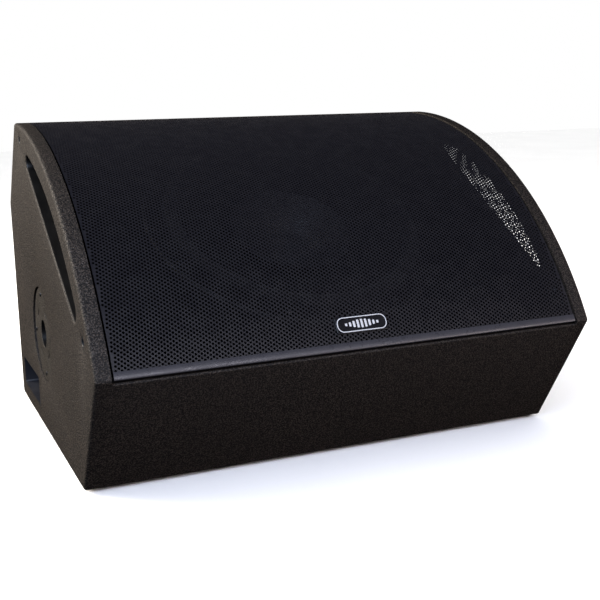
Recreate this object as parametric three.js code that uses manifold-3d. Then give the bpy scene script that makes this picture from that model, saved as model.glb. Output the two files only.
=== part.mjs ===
// Stage monitor wedge: a plywood cabinet with a curved grille, a coaxial 15-inch driver and hand slots.
// Millimetres. X runs across the cabinet, Y from front to back, Z up. The origin is under the middle of the
// object's box, on the surface that it stands on.

import * as THREE from 'three';
import { mergeVertices } from 'three/addons/utils/BufferGeometryUtils.js';
import Module from 'manifold-3d';

// ---------- driving dimensions ----------

const GAP = 0.3; // between pieces that touch
const WELD = 1e-4;

// Cabinet section, in (y, z) from the bottom front edge
const CABINET_WIDTH = 627;
const FOOT_HEIGHT = 5;
const BOTTOM_DEPTH = 422;
const REAR_HEIGHT = 286;
const TOP_BACK = { y: 332, z: 401 };
const ARC_RADIUS = 488; // the curved front, level at its top end
const LIP_ANGLE = degrees(150.67); // where the curved front meets the kick panel, from +Y
const SIDE_THICKNESS = 18;
const PANEL_THICKNESS = 15;
const EDGE_ROUND = 4;
const TOP_LAND = 6; // wood left between the grille and the top back edge

// Baffle: a flat panel behind the curved grille, square to the kick panel
const BAFFLE_TILT = degrees(30.5);
const BAFFLE_OFFSET = 412.6; // from the arc's centre to the baffle's front face
const BAFFLE_THICKNESS = 18;
const CLEAT = { width: 14, height: 18, low: -205, high: 205 };

// Hand slots, cut through both sides between the baffle's face and an arc inside the curved front
const SLOT_ARC_RADIUS = 458;
const SLOT_END_RADIUS = { low: 12, high: 10 };

// Grille: sheet steel with a folded flange at each end
const GRILLE_THICKNESS = 1;
const GRILLE_RADIUS = 486; // middle of the sheet
const GRILLE_SIDE_GAP = 1.5;
const GRILLE_END_GAP = 1.5;
const GRILLE_BEND = 4.25; // middle of the sheet
const GRILLE_FLANGE = 4;
const BADGE = { width: 66, height: 21, thickness: 2, corner: 3, above_lip: 30.7 };

// Side fittings, in (y, z)
// The flange is sunk into a counterbore, with its face below the panel's
const POLE_SOCKET = { y: 219, z: 134.5, flange: 61.5, thickness: 3, sink: 2.5, bore: 18, wall: 2.5, depth: 75 };
const POLE_DRAIN = 5; // radius of the hole in the socket's end
const FLANGE_EDGE = 1; // chamfer round the flange
const INDEX_SLOTS = { radius: 37, width: 3, sweep: degrees(16), angles: [52, 142, 232, 322] };
const INSERTS = [
  { name: 'front', y: -42.6, z: 184 },
  { name: 'top', y: 296, z: 380 },
];
const INSERT = { bore: 4, radius: 6, length: 16 };
const DISH = { y: 331, z: 42.5, width: 122, height: 41, depth: 41, wall: 1.5 };
const SPEAKER_SOCKET = { spacing: 54, opening: 11, wall: 1, post: 5 };
const SOCKET_FLANGE = { width: 26, height: 31, thickness: 2 };
const SPEAKER_SOCKET_WELL = { depth: 24, floor: 2, collar: 2, corner: 3 };

// Rubber feet
const FOOT = { radius: 19, top_radius: 20, bore: 2.6, recess: 5.2, recess_depth: 2.6, inset: 45 };
const FOOT_SCREW = { head: 4.4, head_height: 1.4, shank: 1.9, length: 14, hole_depth: 12 };

// Coaxial driver, along its axis from the baffle's front face (positive is out of the cabinet)
const DRIVER = { radius: 194, cutout: 177, flange: 6, rim: 168, cone_rim: 150, cone_neck: 39.2 };
const CONE = { front: 4, back: -52, thickness: 1.2, curve: 5 };
const SURROUND = { inner: 150.4, outer: 169.6, height: 9, thickness: 1.2 };
const GASKET = { inner: 170, outer: 192, height: 4 };
const COIL = { inner: 37.4, outer: 38.9, front: -49.6, back: -94 };
const SPIDER = { outer: 88, seat: -55.7, thickness: 1.2 };
const BASKET = { back: -77.7, floor: 6, bore: 60, ledge: 10, clearance: 2, heel: 93 };
const BASKET_BENDS = {
  waist: { radius: 95, z: -61 },
  wall: { radius: 163, z: -8 },
  shoulder: { radius: 172, z: -13 },
};
const BASKET_WINDOWS = { count: 8, sweep: degrees(22), inner: 108, outer: 152, back: -65, front: -5 };
const MOTOR = {
  top_plate: { inner: 40.2, outer: 85, front: -78, back: -88 },
  magnet: { inner: 50, outer: 92, front: -88.3, back: -112 },
  back_plate: { outer: 85, front: -112.3, back: -124 },
  pole: { radius: 36.2, front: -80.3, throat_front: 17, throat_back: 12.7 },
};
const TERMINALS = { width: 10, length: 30, height: 12, x: -101, z: -70 };
const HORN = { back: -80, neck: -46, mouth: -6, throat: 17, wall: 2, flare: 1.4 };
const HORN_RADII = { neck: 33.6, mouth: 78 };

// Compression driver behind the motor
const HF = { radius: 45, throat: 12.7, plate: 6, magnet_inner: 24.6, magnet_depth: 15 };
// The knee is a share of the plug's radius and of the dome's height
const HF_PLUG = { radius: 21, bore: 4, depth: 6, knee: 0.6 };
const HF_COVER = { depth: 26, wall: 3, vent: 3 };
const HF_DOME = { radius: 21, sagitta: 6.5, thickness: 0.8, rim: 8 };
const HF_COIL = { inner: 22.1, outer: 23.4, length: 7 };

// Reflex ports
const PORT = { x: 240, s: -180, bore: 37.5, wall: 2.5, length: 112, flare: 5 };
const PORT_FLANGE = { radius: 46, thickness: 3 };

// Crossover, on the floor behind the left side panel
const BOARD = { x: -130, y: 345, width: 170, depth: 105, thickness: 2, height: 10 };
const SPACER = { inset: 8, width: 10, shorter: 20 };
const COILS = [
  { name: 'inductor_low_pass', x: -48, y: -18, inner: 14, outer: 27, height: 24 },
  { name: 'inductor_high_pass', x: 5, y: -28, inner: 8, outer: 17, height: 16 },
];
const CAPACITORS = [
  { name: 'capacitor_low_pass', x: -10, y: 33, radius: 12, length: 48, axis: 'X' },
  { name: 'capacitor_high_pass', x: 42, y: -20, radius: 9, length: 34, axis: 'Y' },
];
const RESISTOR = { x: 54, y: 30, length: 46, width: 10, height: 10 };
const WADDING = { width: 540, thickness: 20, height: 180, z: 175 };
const LEAD = { radius: 2.5, sides: 8, step: 10 };

// ---------- small helpers ----------

function degrees(angle) {
  return (angle * Math.PI) / 180;
}

function point(a, b) {
  return new THREE.Vector2(a, b);
}

function heading(angle) {
  return point(Math.cos(angle), Math.sin(angle));
}

function offset(start, direction, distance) {
  return start.clone().addScaledVector(direction, distance);
}

// Where the line through a along u meets the line through b along v
function meet(a, u, b, v) {
  const across = b.clone().sub(a).cross(v);
  return offset(a, u, across / u.cross(v));
}

function arcPoints(centre, radius, from, to, steps) {
  const points = [];
  for (let i = 0; i <= steps; i += 1) {
    points.push(offset(centre, heading(from + ((to - from) * i) / steps), radius));
  }
  return points;
}

const api = await Module();
api.setup();

// One closed solid, with shared vertices and no empty triangles
function toSolid(geometry) {
  const bare = geometry.clone();
  bare.deleteAttribute('normal');
  bare.deleteAttribute('uv');
  const merged = mergeVertices(bare, WELD);
  const corners = [];
  for (let i = 0; i < merged.index.count; i += 3) {
    const [a, b, c] = merged.index.array.subarray(i, i + 3);
    if (a !== b && b !== c && c !== a) {
      corners.push(a, b, c);
    }
  }
  return new api.Manifold(
    new api.Mesh({
      numProp: 3,
      vertProperties: new Float32Array(merged.attributes.position.array),
      triVerts: new Uint32Array(corners),
    }),
  );
}

function toGeometry(solid) {
  const mesh = solid.getMesh();
  const geometry = new THREE.BufferGeometry();
  geometry.setAttribute('position', new THREE.BufferAttribute(mesh.vertProperties, 3));
  geometry.setIndex(new THREE.BufferAttribute(mesh.triVerts, 1));
  return geometry;
}

function cut(geometry, ...tools) {
  return toGeometry(tools.reduce((solid, tool) => solid.subtract(toSolid(tool)), toSolid(geometry)));
}

function join(geometry, ...others) {
  return toGeometry(others.reduce((solid, other) => solid.add(toSolid(other)), toSolid(geometry)));
}

// A solid of revolution about Z from its (radius, z) section
function turned(section, segments = 28) {
  const points = section.map(([radius, z]) => point(radius, z));
  if (THREE.ShapeUtils.area(points) < 0) {
    points.reverse();
  }
  if (points.every((p) => p.x > 0)) {
    points.push(points[0].clone());
  }
  return new THREE.LatheGeometry(points, segments).rotateX(Math.PI / 2);
}

function ring(inner, outer, low, high, segments) {
  return turned([[inner, low], [outer, low], [outer, high], [inner, high]], segments);
}

function disc(radius, low, high, segments) {
  return turned([[0, low], [radius, low], [radius, high], [0, high]], segments);
}

function box(width, depth, height) {
  return new THREE.BoxGeometry(width, depth, height);
}

// Part of a ring, from an angle and round by a sweep
function sectorShape(inner, outer, from, sweep) {
  const shape = new THREE.Shape();
  shape.absarc(0, 0, outer, from, from + sweep, false);
  shape.absarc(0, 0, inner, from + sweep, from, true);
  return shape;
}

// A section drawn in (y, z), extruded along X from x = 0
const SECTION_TO_WORLD = new THREE.Matrix4().makeBasis(
  new THREE.Vector3(0, 1, 0),
  new THREE.Vector3(0, 0, 1),
  new THREE.Vector3(1, 0, 0),
);

function extrudedAlongX(shape, length, options = {}) {
  const settings = { depth: length, bevelEnabled: false, curveSegments: 8, ...options };
  return new THREE.ExtrudeGeometry(shape, settings).applyMatrix4(SECTION_TO_WORLD);
}

// A bar that spans the cabinet between its sides
function spanning(outline, clearance = GAP) {
  const length = CABINET_WIDTH - 2 * SIDE_THICKNESS - 2 * clearance;
  return extrudedAlongX(new THREE.Shape(outline), length).translate(-length / 2, 0, 0);
}

// A round tool or fitting whose own +Z is turned to +X or -X
function facingSide(geometry, side) {
  return geometry.rotateY((side * Math.PI) / 2);
}

function mesh(name, geometry, material) {
  const piece = new THREE.Mesh(geometry, material.clone());
  piece.name = name;
  return piece;
}

function finish(color, roughness, metalness) {
  return new THREE.MeshStandardMaterial({ color, roughness, metalness });
}

const paint = finish(0x1f1d1d, 0.75, 0);
const grilleSteel = finish(0x2b2b30, 0.45, 0.2);
const badgePlate = finish(0x17171a, 0.4, 0);
const blackSteel = finish(0x232325, 0.5, 0.5);
const zincSteel = finish(0xa8a9a6, 0.35, 0.9);
const rawWood = finish(0xa98a5e, 0.8, 0);
const rubber = finish(0x141414, 0.85, 0);
const blackPlastic = finish(0x1a1a1c, 0.5, 0);
const castAluminium = finish(0x3a3b3d, 0.55, 0.6);
const ferrite = finish(0x2c2b2b, 0.8, 0.1);
const paper = finish(0x1d1c1b, 0.9, 0);
const cloth = finish(0x8a6a35, 0.9, 0);
const copper = finish(0xa85a2e, 0.35, 0.9);
const board = finish(0x1f4a30, 0.5, 0);
const film = finish(0xb5a03a, 0.4, 0);
const ceramic = finish(0xd8d6cf, 0.7, 0);
const wadding = finish(0xc9c6bd, 1, 0);
const titanium = finish(0x8f9296, 0.3, 0.8);
const leadSleeve = finish(0x5a1614, 0.5, 0);

// ---------- section lines shared by the panels ----------

const arcCentre = point(TOP_BACK.y, TOP_BACK.z - ARC_RADIUS);
const bottomFront = point(0, 0);
const bottomBack = point(BOTTOM_DEPTH, 0);
const rearBend = point(BOTTOM_DEPTH, REAR_HEIGHT);
const topBack = point(TOP_BACK.y, TOP_BACK.z);
const lip = offset(arcCentre, heading(LIP_ANGLE), ARC_RADIUS);

const inwardFromLip = heading(LIP_ANGLE + Math.PI);
const alongKick = lip.clone().sub(bottomFront).normalize();
const intoKick = point(alongKick.y, -alongKick.x);
const alongUpperRear = topBack.clone().sub(rearBend).normalize();
const intoUpperRear = point(-alongUpperRear.y, alongUpperRear.x);
const upBaffle = heading(BAFFLE_TILT);
const outOfBaffle = heading(BAFFLE_TILT + Math.PI / 2);
const baffleMiddle = offset(arcCentre, outOfBaffle, BAFFLE_OFFSET);

const kickInner = offset(bottomFront, intoKick, PANEL_THICKNESS);
const upperRearInner = offset(rearBend, intoUpperRear, PANEL_THICKNESS);
const across = point(1, 0);
const upright = point(0, 1);

// ---------- cabinet panels ----------

function slotOutline() {
  const { low, high } = SLOT_END_RADIUS;
  const normalAngle = BAFFLE_TILT + Math.PI / 2;
  const swing = (radius) => Math.acos((BAFFLE_OFFSET + radius) / (SLOT_ARC_RADIUS - radius));
  const lowAngle = normalAngle + swing(low);
  const highAngle = normalAngle - swing(high);
  const lowCentre = offset(arcCentre, heading(lowAngle), SLOT_ARC_RADIUS - low);
  const highCentre = offset(arcCentre, heading(highAngle), SLOT_ARC_RADIUS - high);
  const slot = new THREE.Path();
  slot.absarc(highCentre.x, highCentre.y, high, normalAngle - Math.PI, highAngle, false);
  slot.absarc(arcCentre.x, arcCentre.y, SLOT_ARC_RADIUS, highAngle, lowAngle, false);
  slot.absarc(lowCentre.x, lowCentre.y, low, lowAngle, normalAngle + Math.PI, false);
  return slot;
}

function sideOutline() {
  const outline = new THREE.Shape();
  outline.moveTo(bottomFront.x, bottomFront.y);
  outline.lineTo(bottomBack.x, bottomBack.y);
  outline.lineTo(rearBend.x, rearBend.y);
  outline.lineTo(topBack.x, topBack.y);
  outline.absarc(arcCentre.x, arcCentre.y, ARC_RADIUS, Math.PI / 2, LIP_ANGLE, false);
  outline.holes.push(slotOutline());
  return outline;
}

// The outer edges are rounded over and the inner ones left square
function sidePanel(side, name) {
  const bevel = { bevelEnabled: true, bevelSegments: 2, bevelThickness: EDGE_ROUND };
  const shape = { bevelSize: EDGE_ROUND, bevelOffset: -EDGE_ROUND };
  const blank = extrudedAlongX(sideOutline(), SIDE_THICKNESS, { ...bevel, ...shape });
  const outerFace = CABINET_WIDTH / 2;
  const trimmed = SIDE_THICKNESS + 2 * EDGE_ROUND;
  blank.translate(side > 0 ? outerFace - SIDE_THICKNESS - EDGE_ROUND : EDGE_ROUND - outerFace, 0, 0);
  const inside = box(trimmed, 2 * BOTTOM_DEPTH + ARC_RADIUS, 2 * ARC_RADIUS);
  inside.translate(side * (outerFace - SIDE_THICKNESS - trimmed / 2), 0, 0);
  const through = (radius, y, z) =>
    facingSide(disc(radius, -SIDE_THICKNESS, 2 * SIDE_THICKNESS, 24), side).translate(
      side * (outerFace - SIDE_THICKNESS),
      y,
      z,
    );
  const { y, z, flange, thickness, sink, bore, wall } = POLE_SOCKET;
  const counterbore = disc(flange + 2 * GAP, -(thickness + sink + GAP), SIDE_THICKNESS, 32);
  const seat = facingSide(counterbore, side).translate(side * outerFace, y, z);
  const tools = [inside, seat, through(bore + wall + 2 * GAP, y, z)];
  INSERTS.forEach((spot) => tools.push(through(INSERT.radius + GAP, spot.y, spot.z)));
  if (side < 0) {
    const margin = 2 * GAP;
    const opening = box(3 * SIDE_THICKNESS, DISH.width + margin, DISH.height + margin);
    tools.push(opening.translate(side * outerFace, DISH.y, DISH.z));
  }
  return mesh(name, cut(blank, ...tools), paint);
}

function bottomPanel() {
  const frontLow = meet(kickInner, alongKick, bottomFront, across);
  const frontHigh = meet(kickInner, alongKick, point(0, PANEL_THICKNESS), across);
  const back = BOTTOM_DEPTH - PANEL_THICKNESS - GAP;
  const outline = [
    point(frontLow.x + 2 * GAP, 0),
    point(back, 0),
    point(back, PANEL_THICKNESS),
    point(frontHigh.x + 2 * GAP, PANEL_THICKNESS),
  ];
  const screwHoles = footPlaces().map(({ x, y }) =>
    disc(FOOT_SCREW.shank + GAP, -PANEL_THICKNESS, FOOT_SCREW.hole_depth, 10).translate(x, y, 0),
  );
  return mesh('bottom_panel', cut(spanning(outline), ...screwHoles), paint);
}

// Its top end is cut back square to the curved front, then flush with the baffle's face
function kickPanel() {
  const notch = meet(lip, inwardFromLip, baffleMiddle, upBaffle);
  const outline = [
    bottomFront,
    meet(kickInner, alongKick, bottomFront, across),
    meet(kickInner, alongKick, baffleMiddle, upBaffle),
    notch,
    lip,
  ];
  return mesh('kick_panel', spanning(outline), paint);
}

function rearPanel() {
  const innerFace = BOTTOM_DEPTH - PANEL_THICKNESS;
  const innerBend = meet(upperRearInner, alongUpperRear, point(innerFace, 0), upright);
  const outline = [
    point(innerFace, 0),
    bottomBack,
    offset(rearBend, upright, -GAP),
    offset(innerBend, upright, -GAP),
  ];
  return mesh('rear_panel', spanning(outline), paint);
}

function upperRearPanel() {
  const innerBend = meet(upperRearInner, alongUpperRear, point(BOTTOM_DEPTH - PANEL_THICKNESS, 0), upright);
  const landFront = offset(topBack, across, -TOP_LAND);
  const outline = [
    innerBend,
    rearBend,
    topBack,
    landFront,
    meet(landFront, upright, baffleMiddle, upBaffle),
    meet(upperRearInner, alongUpperRear, baffleMiddle, upBaffle),
  ];
  return mesh('upper_rear_panel', spanning(outline), paint);
}

// ---------- baffle and what is on it, in the baffle's own frame ----------
// Origin at the middle of its front face, X across, Y up the slope, Z out of the cabinet.

function baffle() {
  const backPoint = offset(baffleMiddle, outOfBaffle, -BAFFLE_THICKNESS);
  const kickFace = offset(kickInner, intoKick, GAP);
  const rearFace = offset(upperRearInner, intoUpperRear, GAP);
  const corners = [
    meet(kickFace, alongKick, backPoint, upBaffle),
    meet(rearFace, alongUpperRear, backPoint, upBaffle),
    meet(rearFace, alongUpperRear, baffleMiddle, upBaffle),
    meet(kickFace, alongKick, baffleMiddle, upBaffle),
  ];
  const local = corners.map((corner) => {
    const d = corner.sub(baffleMiddle);
    return point(d.dot(upBaffle), d.dot(outOfBaffle));
  });
  const holes = [disc(DRIVER.cutout, -2 * BAFFLE_THICKNESS, BAFFLE_THICKNESS, 40)];
  [-1, 1].forEach((side) => {
    const hole = disc(PORT.bore + PORT.wall + 2 * GAP, -2 * BAFFLE_THICKNESS, BAFFLE_THICKNESS, 24);
    holes.push(hole.translate(side * PORT.x, PORT.s, 0));
  });
  return mesh('baffle', cut(spanning(local), ...holes), paint);
}

function baffleCleat(side, name) {
  const bar = box(CLEAT.width, CLEAT.high - CLEAT.low, CLEAT.height);
  const x = CABINET_WIDTH / 2 - SIDE_THICKNESS - GAP - CLEAT.width / 2;
  const z = -BAFFLE_THICKNESS - GAP - CLEAT.height / 2;
  const cleat = mesh(name, bar, rawWood);
  cleat.position.set(side * x, (CLEAT.high + CLEAT.low) / 2, z);
  return cleat;
}

function portTube(side, name) {
  const front = PORT_FLANGE.thickness + GAP;
  const section = [
    [PORT.bore, front - PORT.length],
    [PORT.bore + PORT.wall, front - PORT.length],
    [PORT.bore + PORT.wall, GAP],
    [PORT_FLANGE.radius, GAP],
    [PORT_FLANGE.radius, front],
    [PORT.bore + PORT.flare, front],
    [PORT.bore, front - PORT.flare],
  ];
  const tube = mesh(name, turned(section, 24), blackPlastic);
  tube.position.set(side * PORT.x, PORT.s, 0);
  return tube;
}

function driverBasket() {
  const { outer: spiderOuter, seat } = SPIDER;
  const { waist, wall, shoulder } = BASKET_BENDS;
  const section = [
    [DRIVER.radius, GAP],
    [DRIVER.radius, GAP + DRIVER.flange],
    [DRIVER.rim, GAP + DRIVER.flange],
    [wall.radius, wall.z],
    [spiderOuter + BASKET.clearance, seat],
    [spiderOuter - BASKET.ledge, seat],
    [spiderOuter - BASKET.ledge, BASKET.back + BASKET.floor],
    [BASKET.bore, BASKET.back + BASKET.floor],
    [BASKET.bore, BASKET.back],
    [BASKET.heel, BASKET.back],
    [waist.radius, waist.z],
    [shoulder.radius, shoulder.z],
    [shoulder.radius, GAP],
  ];
  const { count, sweep, inner, outer, back, front } = BASKET_WINDOWS;
  const windows = [];
  for (let i = 0; i < count; i += 1) {
    const from = ((i + 0.5) * 2 * Math.PI) / count - sweep / 2;
    const sector = sectorShape(inner, outer, from, sweep);
    const settings = { depth: front - back, bevelEnabled: false, curveSegments: 1 };
    const tool = new THREE.ExtrudeGeometry(sector, settings);
    windows.push(tool.translate(0, 0, back));
  }
  return mesh('driver_basket', cut(turned(section, 32), ...windows), castAluminium);
}

function surroundRoll() {
  const { inner, outer, height, thickness } = SURROUND;
  const base = GAP + DRIVER.flange + GAP;
  const middle = (inner + outer) / 2;
  const halfWidth = (outer - inner) / 2;
  const steps = 5;
  const outside = [];
  const inside = [];
  for (let i = 0; i <= steps; i += 1) {
    const angle = (Math.PI * i) / steps;
    outside.push([middle + halfWidth * Math.cos(angle), base + height * Math.sin(angle)]);
    const innerHalf = halfWidth - thickness;
    inside.unshift([middle + innerHalf * Math.cos(angle), base + (height - thickness) * Math.sin(angle)]);
  }
  return mesh('surround', turned([...outside, ...inside]), rubber);
}

function driverGasket() {
  const base = GAP + DRIVER.flange + GAP;
  return mesh('driver_gasket', ring(GASKET.inner, GASKET.outer, base, base + GASKET.height), cloth);
}

// The cone's wall bows slightly outwards between its neck and its rim
function driverCone() {
  const steps = 3;
  const front = [];
  const back = [];
  for (let i = 0; i <= steps; i += 1) {
    const t = i / steps;
    const radius = DRIVER.cone_neck + (DRIVER.cone_rim - DRIVER.cone_neck) * t;
    const z = CONE.back + (CONE.front - CONE.back) * t + CONE.curve * Math.sin(Math.PI * t);
    front.push([radius, z + CONE.thickness]);
    back.unshift([radius, z]);
  }
  return mesh('cone', turned([...front, ...back]), paper);
}

function voiceCoil() {
  return mesh('voice_coil', ring(COIL.inner, COIL.outer, COIL.back, COIL.front), copper);
}

function spiderDisc() {
  const low = SPIDER.seat + GAP;
  return mesh('spider', ring(DRIVER.cone_neck, SPIDER.outer, low, low + SPIDER.thickness), cloth);
}

function topPlate() {
  const { inner, outer, front, back } = MOTOR.top_plate;
  return mesh('top_plate', ring(inner, outer, back, front), zincSteel);
}

function ringMagnet() {
  const { inner, outer, front, back } = MOTOR.magnet;
  return mesh('ring_magnet', ring(inner, outer, back, front), ferrite);
}

// Back plate and pole in one piece, bored for the horn's throat
function polePiece() {
  const { pole, back_plate: plate } = MOTOR;
  const section = [
    [pole.throat_back, plate.back],
    [plate.outer, plate.back],
    [plate.outer, plate.front],
    [pole.radius, plate.front],
    [pole.radius, pole.front],
    [pole.throat_front, pole.front],
  ];
  return mesh('pole_piece', turned(section), zincSteel);
}

// The flare opens slowly out of the pole and faster towards its mouth
function hfHorn() {
  const { back, neck, mouth, throat, wall, flare } = HORN;
  const { neck: neckRadius, mouth: mouthRadius } = HORN_RADII;
  const steps = 4;
  const inside = [[throat, back]];
  for (let i = 0; i <= steps; i += 1) {
    const t = i / steps;
    inside.push([neckRadius + (mouthRadius - neckRadius) * t ** flare, neck + (mouth - neck) * t]);
  }
  const outside = inside.map(([radius, z]) => [radius + wall, z]).reverse();
  return mesh('hf_horn', turned([...inside, ...outside], 24), blackPlastic);
}

function hfThroatPlate(front) {
  return mesh('hf_throat_plate', ring(HF.throat, HF.radius, front - HF.plate, front, 20), zincSteel);
}

function hfMagnet(front) {
  return mesh('hf_magnet', ring(HF.magnet_inner, HF.radius, front - HF.magnet_depth, front, 20), ferrite);
}

// Its back follows the dome
function hfPhasePlug(front) {
  const back = front - HF_PLUG.depth;
  const section = [
    [HF_PLUG.bore, front],
    [HF_PLUG.radius, front],
    [HF_PLUG.radius, back],
    [HF_PLUG.radius * HF_PLUG.knee, back - HF_DOME.sagitta * HF_PLUG.knee],
    [HF_PLUG.bore, back - HF_DOME.sagitta],
  ];
  return mesh('hf_phase_plug', turned(section, 20), blackPlastic);
}

function hfDiaphragm(rim) {
  const { radius, sagitta, thickness } = HF_DOME;
  const sphere = (radius ** 2 + sagitta ** 2) / (2 * sagitta);
  const reach = Math.asin(radius / sphere);
  const steps = 3;
  const front = [];
  const back = [];
  for (let i = 0; i <= steps; i += 1) {
    const angle = (reach * i) / steps;
    const z = rim - sphere * (Math.cos(angle) - Math.cos(reach));
    front.push([sphere * Math.sin(angle), z]);
    back.unshift([sphere * Math.sin(angle), z - thickness]);
  }
  return mesh('hf_diaphragm', turned([...front, ...back], 20), titanium);
}

function hfVoiceCoil(back) {
  return mesh('hf_voice_coil', ring(HF_COIL.inner, HF_COIL.outer, back, back + HF_COIL.length, 20), copper);
}

// A cup that is open towards the magnet, with a vent in its back
function hfRearCover(front) {
  const { depth, wall, vent } = HF_COVER;
  const back = front - depth;
  const section = [
    [HF.radius, front],
    [HF.radius - wall, front],
    [HF.radius - wall, back + wall],
    [vent, back + wall],
    [vent, back],
    [HF.radius, back],
  ];
  return mesh('hf_rear_cover', turned(section, 20), castAluminium);
}

function terminalStrip() {
  const { width, length, height, x, z } = TERMINALS;
  const strip = mesh('terminal_strip', box(width, length, height), blackPlastic);
  strip.position.set(x, 0, z);
  return strip;
}

function coaxialDriver() {
  const driver = new THREE.Group();
  const throatFront = MOTOR.back_plate.back - GAP;
  const magnetFront = throatFront - HF.plate - GAP;
  const coverFront = magnetFront - HF.magnet_depth - GAP;
  const domeRim = magnetFront - HF_DOME.rim;
  driver.add(driverBasket(), surroundRoll(), driverGasket(), driverCone(), voiceCoil(), spiderDisc());
  driver.add(topPlate(), ringMagnet(), polePiece(), hfHorn(), terminalStrip());
  driver.add(hfThroatPlate(throatFront), hfMagnet(magnetFront), hfPhasePlug(magnetFront));
  driver.add(hfDiaphragm(domeRim), hfVoiceCoil(domeRim + GAP), hfRearCover(coverFront));
  return driver;
}

function baffleGroup() {
  const group = new THREE.Group();
  group.position.set(0, baffleMiddle.x, baffleMiddle.y);
  group.rotation.x = BAFFLE_TILT;
  group.add(baffle(), baffleCleat(-1, 'baffle_cleat_left'), baffleCleat(1, 'baffle_cleat_right'));
  group.add(portTube(-1, 'port_tube_left'), portTube(1, 'port_tube_right'), coaxialDriver());
  return group;
}

// ---------- grille and badge ----------

const grilleReach = GRILLE_BEND + GRILLE_THICKNESS / 2 + GRILLE_END_GAP;
const grilleTopAngle = Math.PI / 2 + Math.atan((TOP_LAND + grilleReach) / GRILLE_RADIUS);
const grilleLowAngle = LIP_ANGLE - grilleReach / GRILLE_RADIUS;

// The sheet's section: both faces of a strip that follows its middle line
function grilleOutline() {
  const bendCentre = (angle) => offset(arcCentre, heading(angle), GRILLE_RADIUS - GRILLE_BEND);
  const topCentre = bendCentre(grilleTopAngle);
  const lowCentre = bendCentre(grilleLowAngle);
  const quarter = Math.PI / 2;
  const face = (side) => {
    const shift = (side * GRILLE_THICKNESS) / 2;
    const radius = GRILLE_BEND + shift;
    const topBend = arcPoints(topCentre, radius, grilleTopAngle - quarter, grilleTopAngle, 4);
    const sheet = arcPoints(arcCentre, GRILLE_RADIUS + shift, grilleTopAngle, grilleLowAngle, 24);
    const lowBend = arcPoints(lowCentre, radius, grilleLowAngle, grilleLowAngle + quarter, 4);
    return [
      offset(topBend[0], heading(grilleTopAngle + Math.PI), GRILLE_FLANGE),
      ...topBend,
      ...sheet.slice(1, -1),
      ...lowBend,
      offset(lowBend.at(-1), heading(grilleLowAngle + Math.PI), GRILLE_FLANGE),
    ];
  };
  return [...face(1), ...face(-1).reverse()];
}

function grille() {
  return mesh('grille', spanning(grilleOutline(), GRILLE_SIDE_GAP), grilleSteel);
}

function roundedRectangle(width, height, corner) {
  const shape = new THREE.Shape();
  const x = width / 2 - corner;
  const y = height / 2 - corner;
  shape.absarc(x, y, corner, 0, Math.PI / 2, false);
  shape.absarc(-x, y, corner, Math.PI / 2, Math.PI, false);
  shape.absarc(-x, -y, corner, Math.PI, 1.5 * Math.PI, false);
  shape.absarc(x, -y, corner, 1.5 * Math.PI, 2 * Math.PI, false);
  return shape;
}

function badge() {
  const shape = roundedRectangle(BADGE.width, BADGE.height, BADGE.corner);
  const settings = { depth: BADGE.thickness, bevelEnabled: false, curveSegments: 4 };
  const plate = new THREE.ExtrudeGeometry(shape, settings);
  const angle = LIP_ANGLE - BADGE.above_lip / GRILLE_RADIUS;
  const place = offset(arcCentre, heading(angle), GRILLE_RADIUS + GRILLE_THICKNESS / 2 + GAP);
  const piece = mesh('badge', plate, badgePlate);
  piece.position.set(0, place.x, place.y);
  piece.rotation.x = angle - Math.PI / 2;
  return piece;
}

// ---------- side fittings ----------

// Round flange with a blind tube for a 35 mm pole, and four arc slots for an indexed bracket
function poleSocket(side, name) {
  const { flange, thickness, sink, bore, wall, depth } = POLE_SOCKET;
  const section = [
    [bore, thickness],
    [flange - FLANGE_EDGE, thickness],
    [flange, thickness - FLANGE_EDGE],
    [flange, 0],
    [bore + wall, 0],
    [bore + wall, -depth],
    [POLE_DRAIN, -depth],
    [POLE_DRAIN, wall - depth],
    [bore, wall - depth],
  ];
  const slots = INDEX_SLOTS.angles.map((angle) => {
    const { radius, width, sweep } = INDEX_SLOTS;
    const shape = sectorShape(radius - width / 2, radius + width / 2, degrees(angle) - sweep / 2, sweep);
    const settings = { depth: 3 * thickness, bevelEnabled: false, curveSegments: 2 };
    const tool = new THREE.ExtrudeGeometry(shape, settings);
    return tool.translate(0, 0, -thickness);
  });
  const piece = mesh(name, facingSide(cut(turned(section, 32), ...slots), side), paint);
  piece.position.set(side * (CABINET_WIDTH / 2 - thickness - sink), POLE_SOCKET.y, POLE_SOCKET.z);
  return piece;
}

function bracketInsert(side, place, name) {
  const geometry = facingSide(ring(INSERT.bore, INSERT.radius, -INSERT.length, 0, 14), side);
  const piece = mesh(name, geometry, blackSteel);
  piece.position.set(side * (CABINET_WIDTH / 2 - GAP), place.y, place.z);
  return piece;
}

// A tray sunk through the left side panel, with its two sockets in its floor
function connectorDish() {
  const { width, height, depth, wall } = DISH;
  const outer = box(depth, width, height).translate(depth / 2, 0, 0);
  const pocket = box(depth, width - 2 * wall, height - 2 * wall).translate(depth / 2 - wall, 0, 0);
  const holes = [-1, 1].map((place) => {
    const hole = facingSide(disc(SPEAKER_SOCKET.opening + SPEAKER_SOCKET.wall + GAP, -wall, 2 * wall, 24), 1);
    return hole.translate(depth - wall, (place * SPEAKER_SOCKET.spacing) / 2, 0);
  });
  const dish = mesh('connector_dish', cut(outer, pocket, ...holes), blackSteel);
  dish.position.set(GAP - CABINET_WIDTH / 2, DISH.y, DISH.z);
  return dish;
}

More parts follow.
